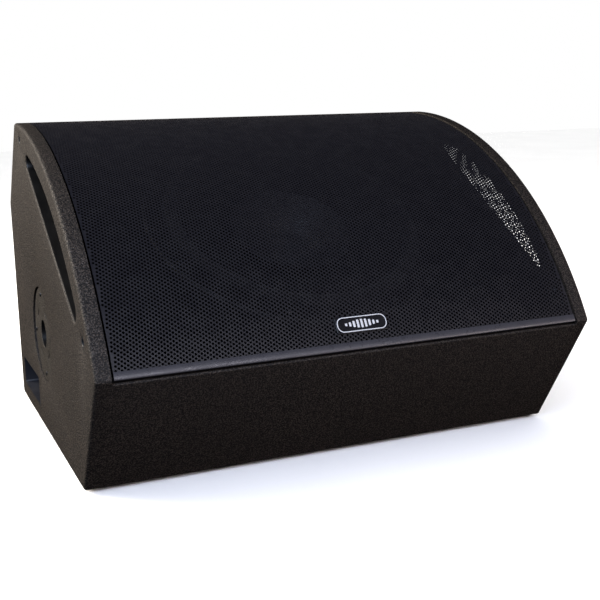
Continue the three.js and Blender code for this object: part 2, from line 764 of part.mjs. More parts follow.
// Round mouth with a middle post, on a rectangular flange; its back is closed
function speakerSocket(place, name) {
  const { opening, wall, post } = SPEAKER_SOCKET;
  const { width, height, thickness: flange } = SOCKET_FLANGE;
  const { depth, floor, collar, corner } = SPEAKER_SOCKET_WELL;
  const section = [
    [0, -depth],
    [opening + wall, -depth],
    [opening + wall, flange + collar],
    [opening, flange + collar],
    [opening, floor - depth],
    [post, floor - depth],
    [post, 0],
    [0, 0],
  ];
  const plate = new THREE.ExtrudeGeometry(roundedRectangle(height, width, corner), {
    depth: flange,
    bevelEnabled: false,
    curveSegments: 3,
  });
  const plateWithHole = cut(plate, disc(opening + wall / 2, -flange, 2 * flange, 18));
  const socket = mesh(name, facingSide(join(turned(section, 18), plateWithHole), -1), blackPlastic);
  const x = DISH.depth - DISH.wall - CABINET_WIDTH / 2;
  socket.position.set(x, DISH.y + (place * SPEAKER_SOCKET.spacing) / 2, DISH.z);
  return socket;
}

function sideFittings() {
  const group = new THREE.Group();
  const sides = [
    { side: -1, word: 'left' },
    { side: 1, word: 'right' },
  ];
  sides.forEach(({ side, word }) => {
    group.add(poleSocket(side, `pole_socket_${word}`));
    INSERTS.forEach((place) => group.add(bracketInsert(side, place, `bracket_insert_${place.name}_${word}`)));
  });
  group.add(connectorDish(), speakerSocket(-1, 'speaker_socket_in'), speakerSocket(1, 'speaker_socket_link'));
  return group;
}

// ---------- feet ----------

function foot() {
  return turned([
    [FOOT.bore, -GAP],
    [FOOT.bore, FOOT.recess_depth - FOOT_HEIGHT],
    [FOOT.recess, FOOT.recess_depth - FOOT_HEIGHT],
    [FOOT.recess, -FOOT_HEIGHT],
    [FOOT.radius, -FOOT_HEIGHT],
    [FOOT.top_radius, -GAP],
  ], 20);
}

function footScrew() {
  const seat = FOOT.recess_depth - FOOT_HEIGHT - GAP;
  return turned([
    [0, seat - FOOT_SCREW.head_height],
    [FOOT_SCREW.head, seat - FOOT_SCREW.head_height],
    [FOOT_SCREW.head, seat],
    [FOOT_SCREW.shank, seat],
    [FOOT_SCREW.shank, seat + FOOT_SCREW.length],
    [0, seat + FOOT_SCREW.length],
  ], 10);
}

function footPlaces() {
  const x = CABINET_WIDTH / 2 - FOOT.inset;
  const front = FOOT.inset;
  const back = BOTTOM_DEPTH - FOOT.inset;
  return [
    { name: 'front_left', x: -x, y: front },
    { name: 'front_right', x, y: front },
    { name: 'rear_left', x: -x, y: back },
    { name: 'rear_right', x, y: back },
  ];
}

function feet() {
  const group = new THREE.Group();
  footPlaces().forEach(({ name, x, y }) => {
    const pad = mesh(`foot_${name}`, foot(), rubber);
    const screw = mesh(`foot_screw_${name}`, footScrew(), zincSteel);
    pad.position.set(x, y, 0);
    screw.position.set(x, y, 0);
    group.add(pad, screw);
  });
  return group;
}

// ---------- crossover, wadding and leads ----------

function crossover() {
  const group = new THREE.Group();
  const top = PANEL_THICKNESS + BOARD.height + BOARD.thickness;
  const place = (piece, x, y, z) => {
    piece.position.set(BOARD.x + x, BOARD.y + y, z);
    group.add(piece);
  };
  const plate = mesh('crossover_board', box(BOARD.width, BOARD.depth, BOARD.thickness), board);
  place(plate, 0, 0, top - BOARD.thickness / 2);
  COILS.forEach(({ name, x, y, inner, outer, height }) => {
    place(mesh(name, ring(inner, outer, 0, height, 24), copper), x, y, top + GAP);
  });
  CAPACITORS.forEach(({ name, x, y, radius, length, axis }) => {
    const can = disc(radius, -length / 2, length / 2, 16);
    const lain = axis === 'X' ? can.rotateY(Math.PI / 2) : can.rotateX(Math.PI / 2);
    place(mesh(name, lain, film), x, y, top + GAP + radius);
  });
  const block = mesh('ceramic_resistor', box(RESISTOR.length, RESISTOR.width, RESISTOR.height), ceramic);
  place(block, RESISTOR.x, RESISTOR.y, top + GAP + RESISTOR.height / 2);
  return group;
}

function boardSpacers() {
  const group = new THREE.Group();
  const reach = BOARD.depth / 2 - SPACER.inset;
  const places = [
    { name: 'board_spacer_front', y: BOARD.y - reach },
    { name: 'board_spacer_rear', y: BOARD.y + reach },
  ];
  places.forEach(({ name, y }) => {
    const bar = mesh(name, box(BOARD.width - SPACER.shorter, SPACER.width, BOARD.height - 2 * GAP), rawWood);
    bar.position.set(BOARD.x, y, PANEL_THICKNESS + BOARD.height / 2);
    group.add(bar);
  });
  return group;
}

function dampingWadding() {
  const { width, thickness, height, z } = WADDING;
  const back = BOTTOM_DEPTH - PANEL_THICKNESS - GAP;
  const slab = mesh('damping_wadding', box(width, thickness, height), wadding);
  slab.position.set(0, back - thickness / 2, z);
  return slab;
}

// A lead along a smooth route, given by hand from end to end
function lead(name, route) {
  const curve = new THREE.CatmullRomCurve3(route.map(([x, y, z]) => new THREE.Vector3(x, y, z)));
  const section = new THREE.Shape();
  section.absarc(0, 0, LEAD.radius, 0, 2 * Math.PI, false);
  const steps = Math.round(curve.getLength() / LEAD.step);
  const geometry = new THREE.ExtrudeGeometry(section, {
    steps,
    extrudePath: curve,
    curveSegments: LEAD.sides / 2,
  });
  return mesh(name, geometry, leadSleeve);
}

function leads() {
  const group = new THREE.Group();
  group.add(
    lead('lead_from_sockets', [
      [-246, 304, 42.5],
      [-236, 304, 42.5],
      [-226, 312, 41],
      [-216, 330, 36],
      [-208, 350, 31],
      [-196, 358, 30.5],
      [-186, 358, 30.5],
    ]),
    lead('lead_to_woofer', [
      [-146.5, 308, 30.5],
      [-146.5, 294, 31],
      [-147, 276, 40],
      [-149, 252, 70],
      [-147, 220, 120],
      [-134, 185, 172],
      [-120, 168, 196],
      [-108, 160.5, 205.5],
    ]),
    lead('lead_to_horn', [
      [-50, 318, 30.5],
      [-46, 300, 31],
      [-40, 282, 36],
      [-28, 262, 48],
      [-14, 242, 68],
      [-3, 227, 92],
      [0, 215, 112.5],
    ]),
  );
  return group;
}

// ---------- the whole object ----------

const cabinet = new THREE.Group();
cabinet.add(sidePanel(-1, 'side_panel_left'), sidePanel(1, 'side_panel_right'));
cabinet.add(bottomPanel(), kickPanel(), rearPanel(), upperRearPanel(), baffleGroup());
cabinet.add(grille(), badge(), sideFittings(), feet());
cabinet.add(crossover(), boardSpacers(), dampingWadding(), leads());
cabinet.position.set(0, -(lip.x + BOTTOM_DEPTH) / 2, FOOT_HEIGHT);

const wedge = new THREE.Group();
wedge.add(cabinet);

export default wedge;
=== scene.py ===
"""Stage monitor wedge: the looks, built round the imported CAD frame.

Shapes are worked out in millimetres in the cabinet's own axes (x across, y back from the bottom front edge,
z up from the underside) and put into the frame in metres by the matrices below.
"""

import math

import bpy
import numpy as np
from mathutils import Matrix, Vector, noise
from mathutils.geometry import delaunay_2d_cdt


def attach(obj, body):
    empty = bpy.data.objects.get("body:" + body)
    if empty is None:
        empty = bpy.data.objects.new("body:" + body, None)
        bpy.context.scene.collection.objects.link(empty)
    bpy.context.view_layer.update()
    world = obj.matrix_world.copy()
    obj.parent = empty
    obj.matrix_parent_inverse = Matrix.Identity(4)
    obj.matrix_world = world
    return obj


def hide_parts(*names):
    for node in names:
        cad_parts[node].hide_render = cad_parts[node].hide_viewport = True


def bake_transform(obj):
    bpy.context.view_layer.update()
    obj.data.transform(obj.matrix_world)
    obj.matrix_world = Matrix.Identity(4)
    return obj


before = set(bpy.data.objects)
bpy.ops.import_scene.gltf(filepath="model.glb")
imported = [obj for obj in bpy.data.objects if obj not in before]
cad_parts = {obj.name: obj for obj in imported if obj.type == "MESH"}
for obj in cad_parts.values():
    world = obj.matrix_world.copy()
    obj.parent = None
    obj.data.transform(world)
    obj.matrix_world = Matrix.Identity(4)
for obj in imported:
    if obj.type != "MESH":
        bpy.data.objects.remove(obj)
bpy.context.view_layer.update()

# ---------- dimensions, as the CAD has them ----------

MM = 0.001
WIDTH = 627.0
FOOT_HEIGHT = 5.0
BOTTOM_DEPTH = 422.0
REAR_HEIGHT = 286.0
TOP_BACK = (332.0, 401.0)
ARC_RADIUS = 488.0
LIP_ANGLE = math.radians(150.67)
SIDE = 18.0
PANEL = 15.0
EDGE_ROUND = 4.0
TOP_LAND = 6.0
TILT = math.radians(30.5)
BAFFLE_OFFSET = 412.6
BAFFLE = 18.0
QUARTER = math.pi / 2
GAP = 0.3  # between neighbouring pieces
TOLERANCE = 1e-6  # below this two points are one
SHARPEST = 0.3  # the cosine that limits how far an inset corner can run


# ---------- plane geometry, in (y, z) ----------


def add(p, q, k=1.0):
    return (p[0] + k * q[0], p[1] + k * q[1])


def sub(p, q):
    return (p[0] - q[0], p[1] - q[1])


def unit(p):
    size = math.hypot(*p)
    return (p[0] / size, p[1] / size)


def heading(angle):
    return (math.cos(angle), math.sin(angle))


def left_of(d):
    return (-d[1], d[0])


def meet(p, u, q, v):
    """Where the line through p along u meets the line through q along v."""
    d = sub(q, p)
    k = (d[0] * v[1] - d[1] * v[0]) / (u[0] * v[1] - u[1] * v[0])
    return add(p, u, k)


def arc(centre, radius, start, end, steps):
    turns = [start + (end - start) * i / steps for i in range(steps + 1)]
    return [add(centre, heading(a), radius) for a in turns]


def circle(radius, segments, centre=(0.0, 0.0)):
    return arc(centre, radius, 0.0, 2 * math.pi, segments)[:-1]


def rectangle(width, height, x=0.0, y=0.0):
    w, h = width / 2, height / 2
    return [(x - w, y - h), (x + w, y - h), (x + w, y + h), (x - w, y + h)]


def fillet(before, corner, after, radius, steps=6):
    """The arc that rounds a corner of an outline, from the side of before to the side of after."""
    u, v = unit(sub(before, corner)), unit(sub(after, corner))
    half = math.acos(max(-1.0, min(1.0, u[0] * v[0] + u[1] * v[1]))) / 2
    middle = unit(add(u, v))
    centre = add(corner, middle, radius / math.sin(half))
    sweep = math.pi - 2 * half
    aim = math.atan2(-middle[1], -middle[0])
    turn = u[0] * v[1] - u[1] * v[0]
    way = 1.0 if turn < 0 else -1.0
    return arc(centre, radius, aim - way * sweep / 2, aim + way * sweep / 2, steps)


def rounded(corners, radii, steps=6):
    """A closed outline with its corners rounded; a radius of 0 leaves a corner sharp."""
    loop = []
    for i, corner in enumerate(corners):
        radius = radii[i] if isinstance(radii, (list, tuple)) else radii
        before, after = corners[i - 1], corners[(i + 1) % len(corners)]
        loop += fillet(before, corner, after, radius, steps) if radius else [corner]
    return loop


def area(loop):
    return sum(p[0] * q[1] - p[1] * q[0] for p, q in zip(loop, loop[1:] + loop[:1])) / 2


def anticlockwise(loop):
    return list(loop) if area(loop) > 0 else list(loop)[::-1]


def inset(loop, distance):
    """An anticlockwise loop moved to its inside by a distance."""
    if not distance:
        return list(loop)
    moved = []
    for i, p in enumerate(loop):
        n1 = left_of(unit(sub(p, loop[i - 1])))
        n2 = left_of(unit(sub(loop[(i + 1) % len(loop)], p)))
        n = unit(add(n1, n2))
        moved.append(add(p, n, distance / max(SHARPEST, n[0] * n1[0] + n[1] * n1[1])))
    return moved


# ---------- meshes ----------


def holds(loop, p):
    """True if the loop goes round the point."""
    inside = False
    for a, b in zip(loop, loop[1:] + loop[:1]):
        if (a[1] > p[1]) != (b[1] > p[1]):
            crossing = a[0] + (p[1] - a[1]) * (b[0] - a[0]) / (b[1] - a[1])
            inside ^= p[0] < crossing
    return inside


def fill(outline, holes):
    """Triangles over an outline less its holes, as indices into outline + holes[0] + ..."""
    points, edges = [], []
    for loop in [outline, *holes]:
        first = len(points)
        points += [Vector(p) for p in loop]
        edges += [(first + i, first + (i + 1) % len(loop)) for i in range(len(loop))]
    _, _, faces, origin, _, _ = delaunay_2d_cdt(points, edges, [], 1, TOLERANCE)
    kept = []
    for face in faces:
        corners = [origin[i][0] for i in face]
        middle = [sum(points[i][axis] for i in corners) / 3 for axis in (0, 1)]
        if holds(outline, middle) and not any(holds(hole, middle) for hole in holes):
            kept.append(corners)
    return kept


def flat_rim(radius):
    """The width of the flat ring of faces beside a rounded edge, which keeps the face's shading flat."""
    return min(0.6, 0.3 * radius)


def round_over(top, bottom, radius, steps=5, under=0.0):
    """A wall's profile as (distance into the material, height), from the top down, its top edge rounded."""
    turns = [heading(QUARTER * i / steps) for i in range(steps + 1)]
    profile = [(radius + flat_rim(radius), top)] if radius > 0.5 else []
    profile += [(radius * (1 - s), top - radius * (1 - c)) for c, s in turns]
    if not under:
        return profile + [(0.0, bottom)]
    profile += [(under * (1 - c), bottom + under * (1 - s)) for c, s in turns]
    return profile + [(under + flat_rim(under), bottom)]


def bridge(low, high):
    """Quads from one ring of indices to the next."""
    n = len(low)
    return [(low[i], low[(i + 1) % n], high[(i + 1) % n], high[i]) for i in range(n)]


def plate(outline, profile, holes=()):
    """A flat piece. holes are (loop, profile, floor): with a floor the hole is blind."""
    verts, faces, tops, bottoms = [], [], [], []
    walls = [(anticlockwise(outline), profile, 1, False)]
    walls += [(anticlockwise(loop), wall, -1, floor) for loop, wall, floor in holes]
    for loop, wall, sign, floor in walls:
        n = len(loop)
        rings = []
        for into, height in wall:
            rings.append(range(len(verts), len(verts) + n))
            verts += [(u, v, height) for u, v in inset(loop, sign * into)]
        for high, low in zip(rings, rings[1:]):
            quads = bridge(low, high)
            faces += quads if sign > 0 else [quad[::-1] for quad in quads]
        tops.append(rings[0])
        if floor:
            faces.append(tuple(rings[-1]))
        else:
            bottoms.append(rings[-1])
    for rings, flip in ((tops, False), (bottoms, True)):
        loops = [[verts[i][:2] for i in ring] for ring in rings]
        index = [i for ring in rings for i in ring]
        for tri in fill(loops[0], loops[1:]):
            a, b, c = (index[i] for i in tri)
            pa, pb, pc = verts[a], verts[b], verts[c]
            up = (pb[0] - pa[0]) * (pc[1] - pa[1]) - (pb[1] - pa[1]) * (pc[0] - pa[0]) > 0
            faces.append((a, b, c) if up != flip else (a, c, b))
    return verts, faces


def lathe(section, segments=72):
    """A body of revolution about Z from a closed section in (radius, height)."""
    section = anticlockwise(section)
    verts, faces, rings = [], [], []
    for radius, height in section:
        if radius < TOLERANCE:
            rings.append([len(verts)] * segments)
            verts.append((0.0, 0.0, height))
        else:
            rings.append(list(range(len(verts), len(verts) + segments)))
            verts += [(u, v, height) for u, v in circle(radius, segments)]
    for low, high in zip(rings, rings[1:] + rings[:1]):
        if low[0] == low[1] and high[0] == high[1]:
            continue
        # A quad is left with three corners where a ring is one point
        faces += [tuple(dict.fromkeys(quad)) for quad in bridge(low, high)]
    return verts, faces


def frames(path):
    """Each point of a line, with two directions across it that turn as little as they can."""
    side = None
    for i, p in enumerate(path):
        along = (path[min(i + 1, len(path) - 1)] - path[max(i - 1, 0)]).normalized()
        side = side or along.orthogonal()
        side = (side - along * side.dot(along)).normalized()
        yield p, side, along.cross(side)


def tube(path, radius, sides):
    """A round bar along a path of 3-D points."""
    turns = circle(radius, sides)
    verts = [tuple(p + u * side + v * other) for p, side, other in frames(path) for u, v in turns]
    rings = [range(k, k + sides) for k in range(0, len(verts), sides)]
    faces = [quad for low, high in zip(rings, rings[1:]) for quad in bridge(low, high)]
    faces.append(tuple(range(sides))[::-1])
    faces.append(tuple(range(len(verts) - sides, len(verts))))
    return verts, faces


def smooth_path(points, steps):
    """A Catmull-Rom line through 3-D points."""
    pts = [Vector(p) for p in points]
    pts = [2 * pts[0] - pts[1], *pts, 2 * pts[-1] - pts[-2]]
    line = []
    for a, b, c, d in zip(pts, pts[1:], pts[2:], pts[3:]):
        for i in range(steps):
            t = i / steps
            bend, twist = 2 * a - 5 * b + 4 * c - d, 3 * b - a - 3 * c + d
            line.append(0.5 * (2 * b + (c - a) * t + bend * t * t + twist * t**3))
    return [*line, pts[-2]]


def merged(*parts):
    """Several closed bodies as one mesh, and which body each face is from."""
    verts, faces, owner = [], [], []
    for k, (some_verts, some_faces) in enumerate(parts):
        first = len(verts)
        verts += list(some_verts)
        faces += [tuple(first + i for i in face) for face in some_faces]
        owner += [k] * len(some_faces)
    return verts, faces, owner


def moved(shape, matrix):
    verts, faces = shape[:2]
    return [tuple(matrix @ Vector(v)) for v in verts], faces


def turned(shape, angle, axis="Z"):
    return moved(shape, Matrix.Rotation(angle, 4, axis))


# ---------- section lines of the cabinet ----------

centre = (TOP_BACK[0], TOP_BACK[1] - ARC_RADIUS)
lip = add(centre, heading(LIP_ANGLE), ARC_RADIUS)
bottom_front = (0.0, 0.0)
bottom_back = (BOTTOM_DEPTH, 0.0)
rear_bend = (BOTTOM_DEPTH, REAR_HEIGHT)
top_back = TOP_BACK
along_kick = unit(lip)
into_kick = (along_kick[1], -along_kick[0])
along_upper = unit(sub(top_back, rear_bend))
into_upper = left_of(along_upper)
up_baffle = heading(TILT)
out_of_baffle = heading(TILT + QUARTER)
baffle_middle = add(centre, out_of_baffle, BAFFLE_OFFSET)
kick_inner = add(bottom_front, into_kick, PANEL)
upper_inner = add(rear_bend, into_upper, PANEL)
rear_inner = (BOTTOM_DEPTH - PANEL, 0.0)

# Cabinet axes in millimetres to the frame in metres
CABINET = Matrix.Scale(MM, 4) @ Matrix.Translation((0.0, -(lip[0] + BOTTOM_DEPTH) / 2, FOOT_HEIGHT))
# A section in (y, z) with its third axis along +X
ACROSS = CABINET @ Matrix(((0, 0, 1, 0), (1, 0, 0, 0), (0, 1, 0, 0), (0, 0, 0, 1)))
# The baffle: X across, Y up the slope, Z out of the cabinet
ON_BAFFLE = CABINET @ Matrix.Translation((0, *baffle_middle)) @ Matrix.Rotation(TILT, 4, "X")


def on_side(side, y, z):
    """On a side panel's outer face, with local Z out of it."""
    return CABINET @ Matrix.Translation((side * WIDTH / 2, y, z)) @ Matrix.Rotation(side * QUARTER, 4, "Y")


def under(x, y):
    """Under the cabinet, with local Z pointing down."""
    return CABINET @ Matrix.Translation((x, y, 0)) @ Matrix.Rotation(math.pi, 4, "X")


# ---------- materials ----------


class Finish:
    """A procedural material: helper calls add nodes and link them."""

    def __init__(self, name, **constants):
        self.mat = bpy.data.materials.new(name)
        self.mat.use_nodes = True
        self.tree = self.mat.node_tree
        self.shader = next(n for n in self.tree.nodes if n.type == "BSDF_PRINCIPLED")
        self.place = self.tree.nodes.new("ShaderNodeTexCoord").outputs["Object"]
        self.set(**constants)

    def set(self, **values):
        """Feed the shader's inputs; an underscore stands for a space in their names."""
        for key, value in values.items():
            self.feed(self.shader.inputs[key.replace("_", " ")], value)

    def feed(self, socket, value):
        if isinstance(value, bpy.types.NodeSocket):
            self.tree.links.new(value, socket)
        elif socket.type == "RGBA" and len(value) == 3:
            socket.default_value = (*value, 1.0)
        else:
            socket.default_value = value

    def node(self, kind, output, inputs, **settings):
        made = self.tree.nodes.new(kind)
        for key, value in settings.items():
            setattr(made, key, value)
        for key, value in inputs.items():
            self.feed(made.inputs[key], value)
        return made.outputs[output]

    def texture(self, kind, output, stretch, inputs, **settings):
        place = self.place
        if stretch:
            place = self.node("ShaderNodeMapping", 0, {"Vector": place, "Scale": stretch})
        return self.node(kind, output, {"Vector": place, **inputs}, **settings)

    def noise(self, scale, detail=2.0, roughness=0.5, stretch=None):
        inputs = {"Scale": scale, "Detail": detail, "Roughness": roughness}
        return self.texture("ShaderNodeTexNoise", "Fac", stretch, inputs)

    def cells(self, scale, feature="F1", stretch=None):
        return self.texture("ShaderNodeTexVoronoi", "Distance", stretch, {"Scale": scale}, feature=feature)

    def wave(self, scale, direction, stretch=None, distortion=0.0):
        inputs = {"Scale": scale, "Distortion": distortion}
        return self.texture("ShaderNodeTexWave", "Fac", stretch, inputs, bands_direction=direction)

    def spread(self, value, low, high, to_low=0.0, to_high=1.0):
        inputs = {"Value": value, "From Min": low, "From Max": high, "To Min": to_low, "To Max": to_high}
        return self.node("ShaderNodeMapRange", 0, inputs)

    def mix(self, factor, a, b):
        return self.node("ShaderNodeMix", 2, {0: factor, 6: a, 7: b}, data_type="RGBA")

    def math(self, operation, a, b):
        return self.node("ShaderNodeMath", 0, {0: a, 1: b}, operation=operation)

    def bump(self, height, distance, strength):
        """Relief on top of any that the shader has already."""
        inputs = {"Height": height, "Distance": distance, "Strength": strength}
        normal = self.shader.inputs["Normal"]
        if normal.is_linked:
            inputs["Normal"] = normal.links[0].from_socket
        self.set(Normal=self.node("ShaderNodeBump", 0, inputs))
        return self


def tinted(color, gain, lift=0.0):
    return tuple(min(1.0, c * gain + lift) for c in color)


def grained(name, tones, blotch, gloss, relief, **constants):
    """A surface of two tones.

    A field is noise or cells, with its words. blotch is (field, low, high): the first tone up to low, the
    second from high on. gloss is (field, low, high, roughness at low, roughness at high). relief is (field,
    distance, strength).
    """
    f = Finish(name, **constants)

    def field(kind, *words):
        return getattr(f, kind)(*words)

    f.set(Base_Color=f.mix(f.spread(field(*blotch[0]), *blotch[1:]), *tones))
    f.set(Roughness=f.spread(field(*gloss[0]), *gloss[1:]))
    return f.bump(field(*relief[0]), *relief[1:]).mat


def powder_coat(name, color, roughness, grain=1400.0, depth=0.0002):
    fine = ("noise", grain, 3.0, 0.6)
    tones = (color, tinted(color, 1.45, 0.004))
    gloss = (("noise", 60.0, 3.0), 0.3, 0.7, roughness - 0.06, roughness + 0.08)
    constants = {"Roughness": roughness, "Specular_IOR_Level": 0.5}
    return grained(name, tones, (fine, 0.35, 0.7), gloss, (fine, depth, 0.5), **constants)


def bare_metal(name, color, roughness, stretch=None):
    """Machined or plated metal: fine tool marks and slight stains."""
    marks = ("noise", 900.0, 3.0, 0.6, stretch)
    tones = (color, tinted(color, 0.72))
    stain = (("noise", 35.0, 5.0, 0.7), 0.4, 0.75)
    gloss = (marks, 0.3, 0.7, roughness - 0.08, roughness + 0.12)
    return grained(name, tones, stain, gloss, (marks, 0.0001, 0.25), Roughness=roughness, Metallic=1.0)


def matt(name, color):
    """Dead flat black: nothing behind the grille catches the light."""
    nap = ("noise", 500.0, 4.0, 0.65)
    tones = (color, tinted(color, 1.6))
    gloss = (("noise", 60.0, 3.0), 0.3, 0.7, 0.9, 1.0)
    constants = {"Roughness": 0.95, "Specular_IOR_Level": 0.06}
    return grained(name, tones, (nap, 0.35, 0.7), gloss, (nap, 0.0004, 0.5), **constants)


def foil(name):
    rays = ("noise", 300.0, 3.0)
    tones = ((0.5, 0.51, 0.53), (0.62, 0.62, 0.62))
    gloss = (rays, 0.3, 0.7, 0.2, 0.36)
    return grained(name, tones, (rays, 0.3, 0.7), gloss, (rays, 0.0001, 0.3), Roughness=0.28, Metallic=1.0)


def sleeve(name, color):
    """Glossy flexible insulation with faint drawing marks."""
    marks = ("noise", 500.0, 3.0)
    tones = (color, tinted(color, 1.5, 0.004))
    gloss = (marks, 0.3, 0.7, 0.3, 0.46)
    constants = {"Roughness": 0.38, "Coat_Weight": 0.2, "Coat_Roughness": 0.25}
    return grained(name, tones, (marks, 0.35, 0.7), gloss, (marks, 0.0001, 0.3), **constants)


def textured_paint(name, dark, light, warm):
    """Thick, dry-spattered cabinet paint: fine pimples, with lighter flecks that are partly random speckle and
    partly painted highlight on the pimples' tips.
    """
    f = Finish(name, Roughness=0.6, Specular_IOR_Level=0.4)
    grain = f.noise(560.0, 3.0, 0.6)
    pimples = f.cells(620.0, "SMOOTH_F1")
    # Lighter where the grain is high and at the pimples' tips: random speckle, and partly painted highlight on
    # the tips
    speckle_and_tip_highlight = f.spread(f.math("SUBTRACT", grain, f.math("MULTIPLY", pimples, 0.35)), 0.3, 0.48)
    cloud = f.spread(f.noise(9.0, 3.0), 0.3, 0.7, 0.0, 0.3)
    f.set(Base_Color=f.mix(cloud, f.mix(speckle_and_tip_highlight, dark, light), warm))
    f.set(Roughness=f.spread(speckle_and_tip_highlight, 0.0, 1.0, 0.7, 0.42))
    f.bump(f.spread(pimples, 0.0, 0.7, 1.0, 0.0), 0.0009, 0.7)
    return f.bump(grain, 0.0014, 0.6).mat


def plywood(name, light, dark):
    """Birch: long streaks of grain along X, with fine pores."""
    f = Finish(name, Roughness=0.7, Specular_IOR_Level=0.35)
    streaks = f.noise(60.0, 5.0, 0.6, (0.06, 1.0, 1.0))
    rings = f.wave(9.0, "Z", (0.15, 1.0, 1.3), 5.0)
    base = f.mix(f.spread(streaks, 0.3, 0.7), light, dark)
    base = f.mix(f.math("MULTIPLY", rings, 0.3), base, dark)
    pores = f.noise(900.0, 2.0, 0.5, (0.05, 1.0, 1.0))
    base = f.mix(f.spread(pores, 0.6, 0.75, 0.0, 0.5), base, tinted(dark, 0.5))
    f.set(Base_Color=base, Roughness=f.spread(streaks, 0.3, 0.7, 0.6, 0.8))
    return f.bump(pores, 0.0002, 0.5).mat


def paper_cone(name):
    """Pressed pulp: short random fibres."""
    f = Finish(name, Roughness=0.9, Specular_IOR_Level=0.1)
    fibres = f.noise(380.0, 6.0, 0.75)
    hairs = f.cells(240.0, "DISTANCE_TO_EDGE")
    base = f.mix(f.spread(fibres, 0.35, 0.7), (0.003, 0.003, 0.0032), (0.009, 0.0088, 0.0085))
    f.set(Base_Color=f.mix(f.spread(hairs, 0.0, 0.06, 0.35, 0.0), base, (0.016, 0.015, 0.014)))
    return f.bump(fibres, 0.0006, 0.6).bump(hairs, 0.0002, 0.4).mat


def woven(name, warp, weft, pitch, roughness=0.8):
    f = Finish(name, Roughness=roughness, Specular_IOR_Level=0.3, Sheen_Weight=0.1)
    across, down = (f.wave(pitch / 6.3, direction) for direction in "XY")
    threads = f.math("MAXIMUM", across, down)
    worn = f.spread(f.noise(30.0, 4.0), 0.4, 0.7, 0.0, 0.5)
    f.set(Base_Color=f.mix(worn, f.mix(across, warp, weft), tinted(warp, 0.7)))
    f.set(Roughness=f.spread(threads, 0.0, 1.0, roughness + 0.1, roughness - 0.1))
    return f.bump(threads, 0.0003, 0.7).mat


def wound_wire_shaded_turns(name, pitch):
    """Enamelled wire lying in even turns round Z, darker in the grooves between the turns as painted shade and
    lighter on their crowns as painted highlight.
    """
    f = Finish(name, Roughness=0.3, Metallic=0.9, Coat_Weight=0.5, Coat_Roughness=0.15)
    turns = f.wave(1.0 / pitch / 6.283 * 2, "Z")
    # Painted shade in the grooves between the turns and painted highlight on their crowns
    base = f.mix(f.spread(turns, 0.0, 1.0), (0.2, 0.055, 0.018), (0.62, 0.22, 0.09))
    f.set(Base_Color=f.mix(f.spread(f.noise(120.0, 3.0), 0.4, 0.7, 0.0, 0.4), base, (0.35, 0.1, 0.03)))
    return f.bump(turns, 0.0004, 0.8).mat


def circuit_laminate(name):
    """Green laminate with straight copper tracks under the mask."""
    f = Finish(name, Roughness=0.4, Coat_Weight=0.3, Coat_Roughness=0.2)
    grid = f.cells(70.0, "DISTANCE_TO_EDGE", (1.0, 1.0, 0.0))
    weave = f.math("MAXIMUM", f.wave(160.0, "X"), f.wave(160.0, "Y"))
    base = f.mix(f.spread(grid, 0.05, 0.09), (0.02, 0.13, 0.05), (0.008, 0.06, 0.024))
    base = f.mix(f.math("MULTIPLY", weave, 0.15), base, (0.03, 0.1, 0.05))
    f.set(Base_Color=base, Roughness=f.spread(grid, 0.04, 0.1, 0.3, 0.45))
    return f.bump(f.spread(grid, 0.05, 0.09, 1.0, 0.0), 0.0001, 0.5).mat


def loose_fibre(name):
    """Polyester wadding: tangled white fibre, grey in its hollows as painted shade."""
    f = Finish(name, Roughness=0.95, Sheen_Weight=0.4, Sheen_Roughness=0.6, Subsurface_Weight=0.1)
    tangle = f.noise(160.0, 7.0, 0.75)
    strands = f.cells(110.0, "DISTANCE_TO_EDGE")
    # Grey where the tangle is low: painted shade in the hollows
    base = f.mix(f.spread(tangle, 0.3, 0.7), (0.42, 0.41, 0.38), (0.8, 0.79, 0.75))
    f.set(Base_Color=f.mix(f.spread(strands, 0.0, 0.08, 0.4, 0.0), base, (0.88, 0.87, 0.84)))
    return f.bump(tangle, 0.003, 0.8).bump(strands, 0.001, 0.6).mat


PAINT = textured_paint(
    "cabinet_paint", (0.0034, 0.0026, 0.0022), (0.078, 0.0615, 0.0495), (0.0175, 0.0138, 0.0114)
)
FLANGE_PAINT = textured_paint(
    "flange_paint", (0.006, 0.005, 0.0042), (0.08, 0.067, 0.052), (0.022, 0.0185, 0.015)
)
GRILLE_PAINT = powder_coat("grille_paint", (0.0135, 0.0128, 0.0158), 0.4)
# The grille's own paint, made lighter for its folded hem: a painted highlight along the hem
HEM_PAINTED_HIGHLIGHT = powder_coat("hem_painted_highlight", (0.05, 0.048, 0.054), 0.3)
BADGE_PAINT = powder_coat("badge_paint", (0.006, 0.006, 0.008), 0.3, 1800.0, 0.0001)
WHITE_MARK = powder_coat("white_mark", (0.8, 0.8, 0.8), 0.4, 2200.0, 0.0001)
BLACK_STEEL = powder_coat("black_steel", (0.02, 0.022, 0.026), 0.35)
DISH_STEEL = powder_coat("dish_steel", (0.011, 0.012, 0.017), 0.4)
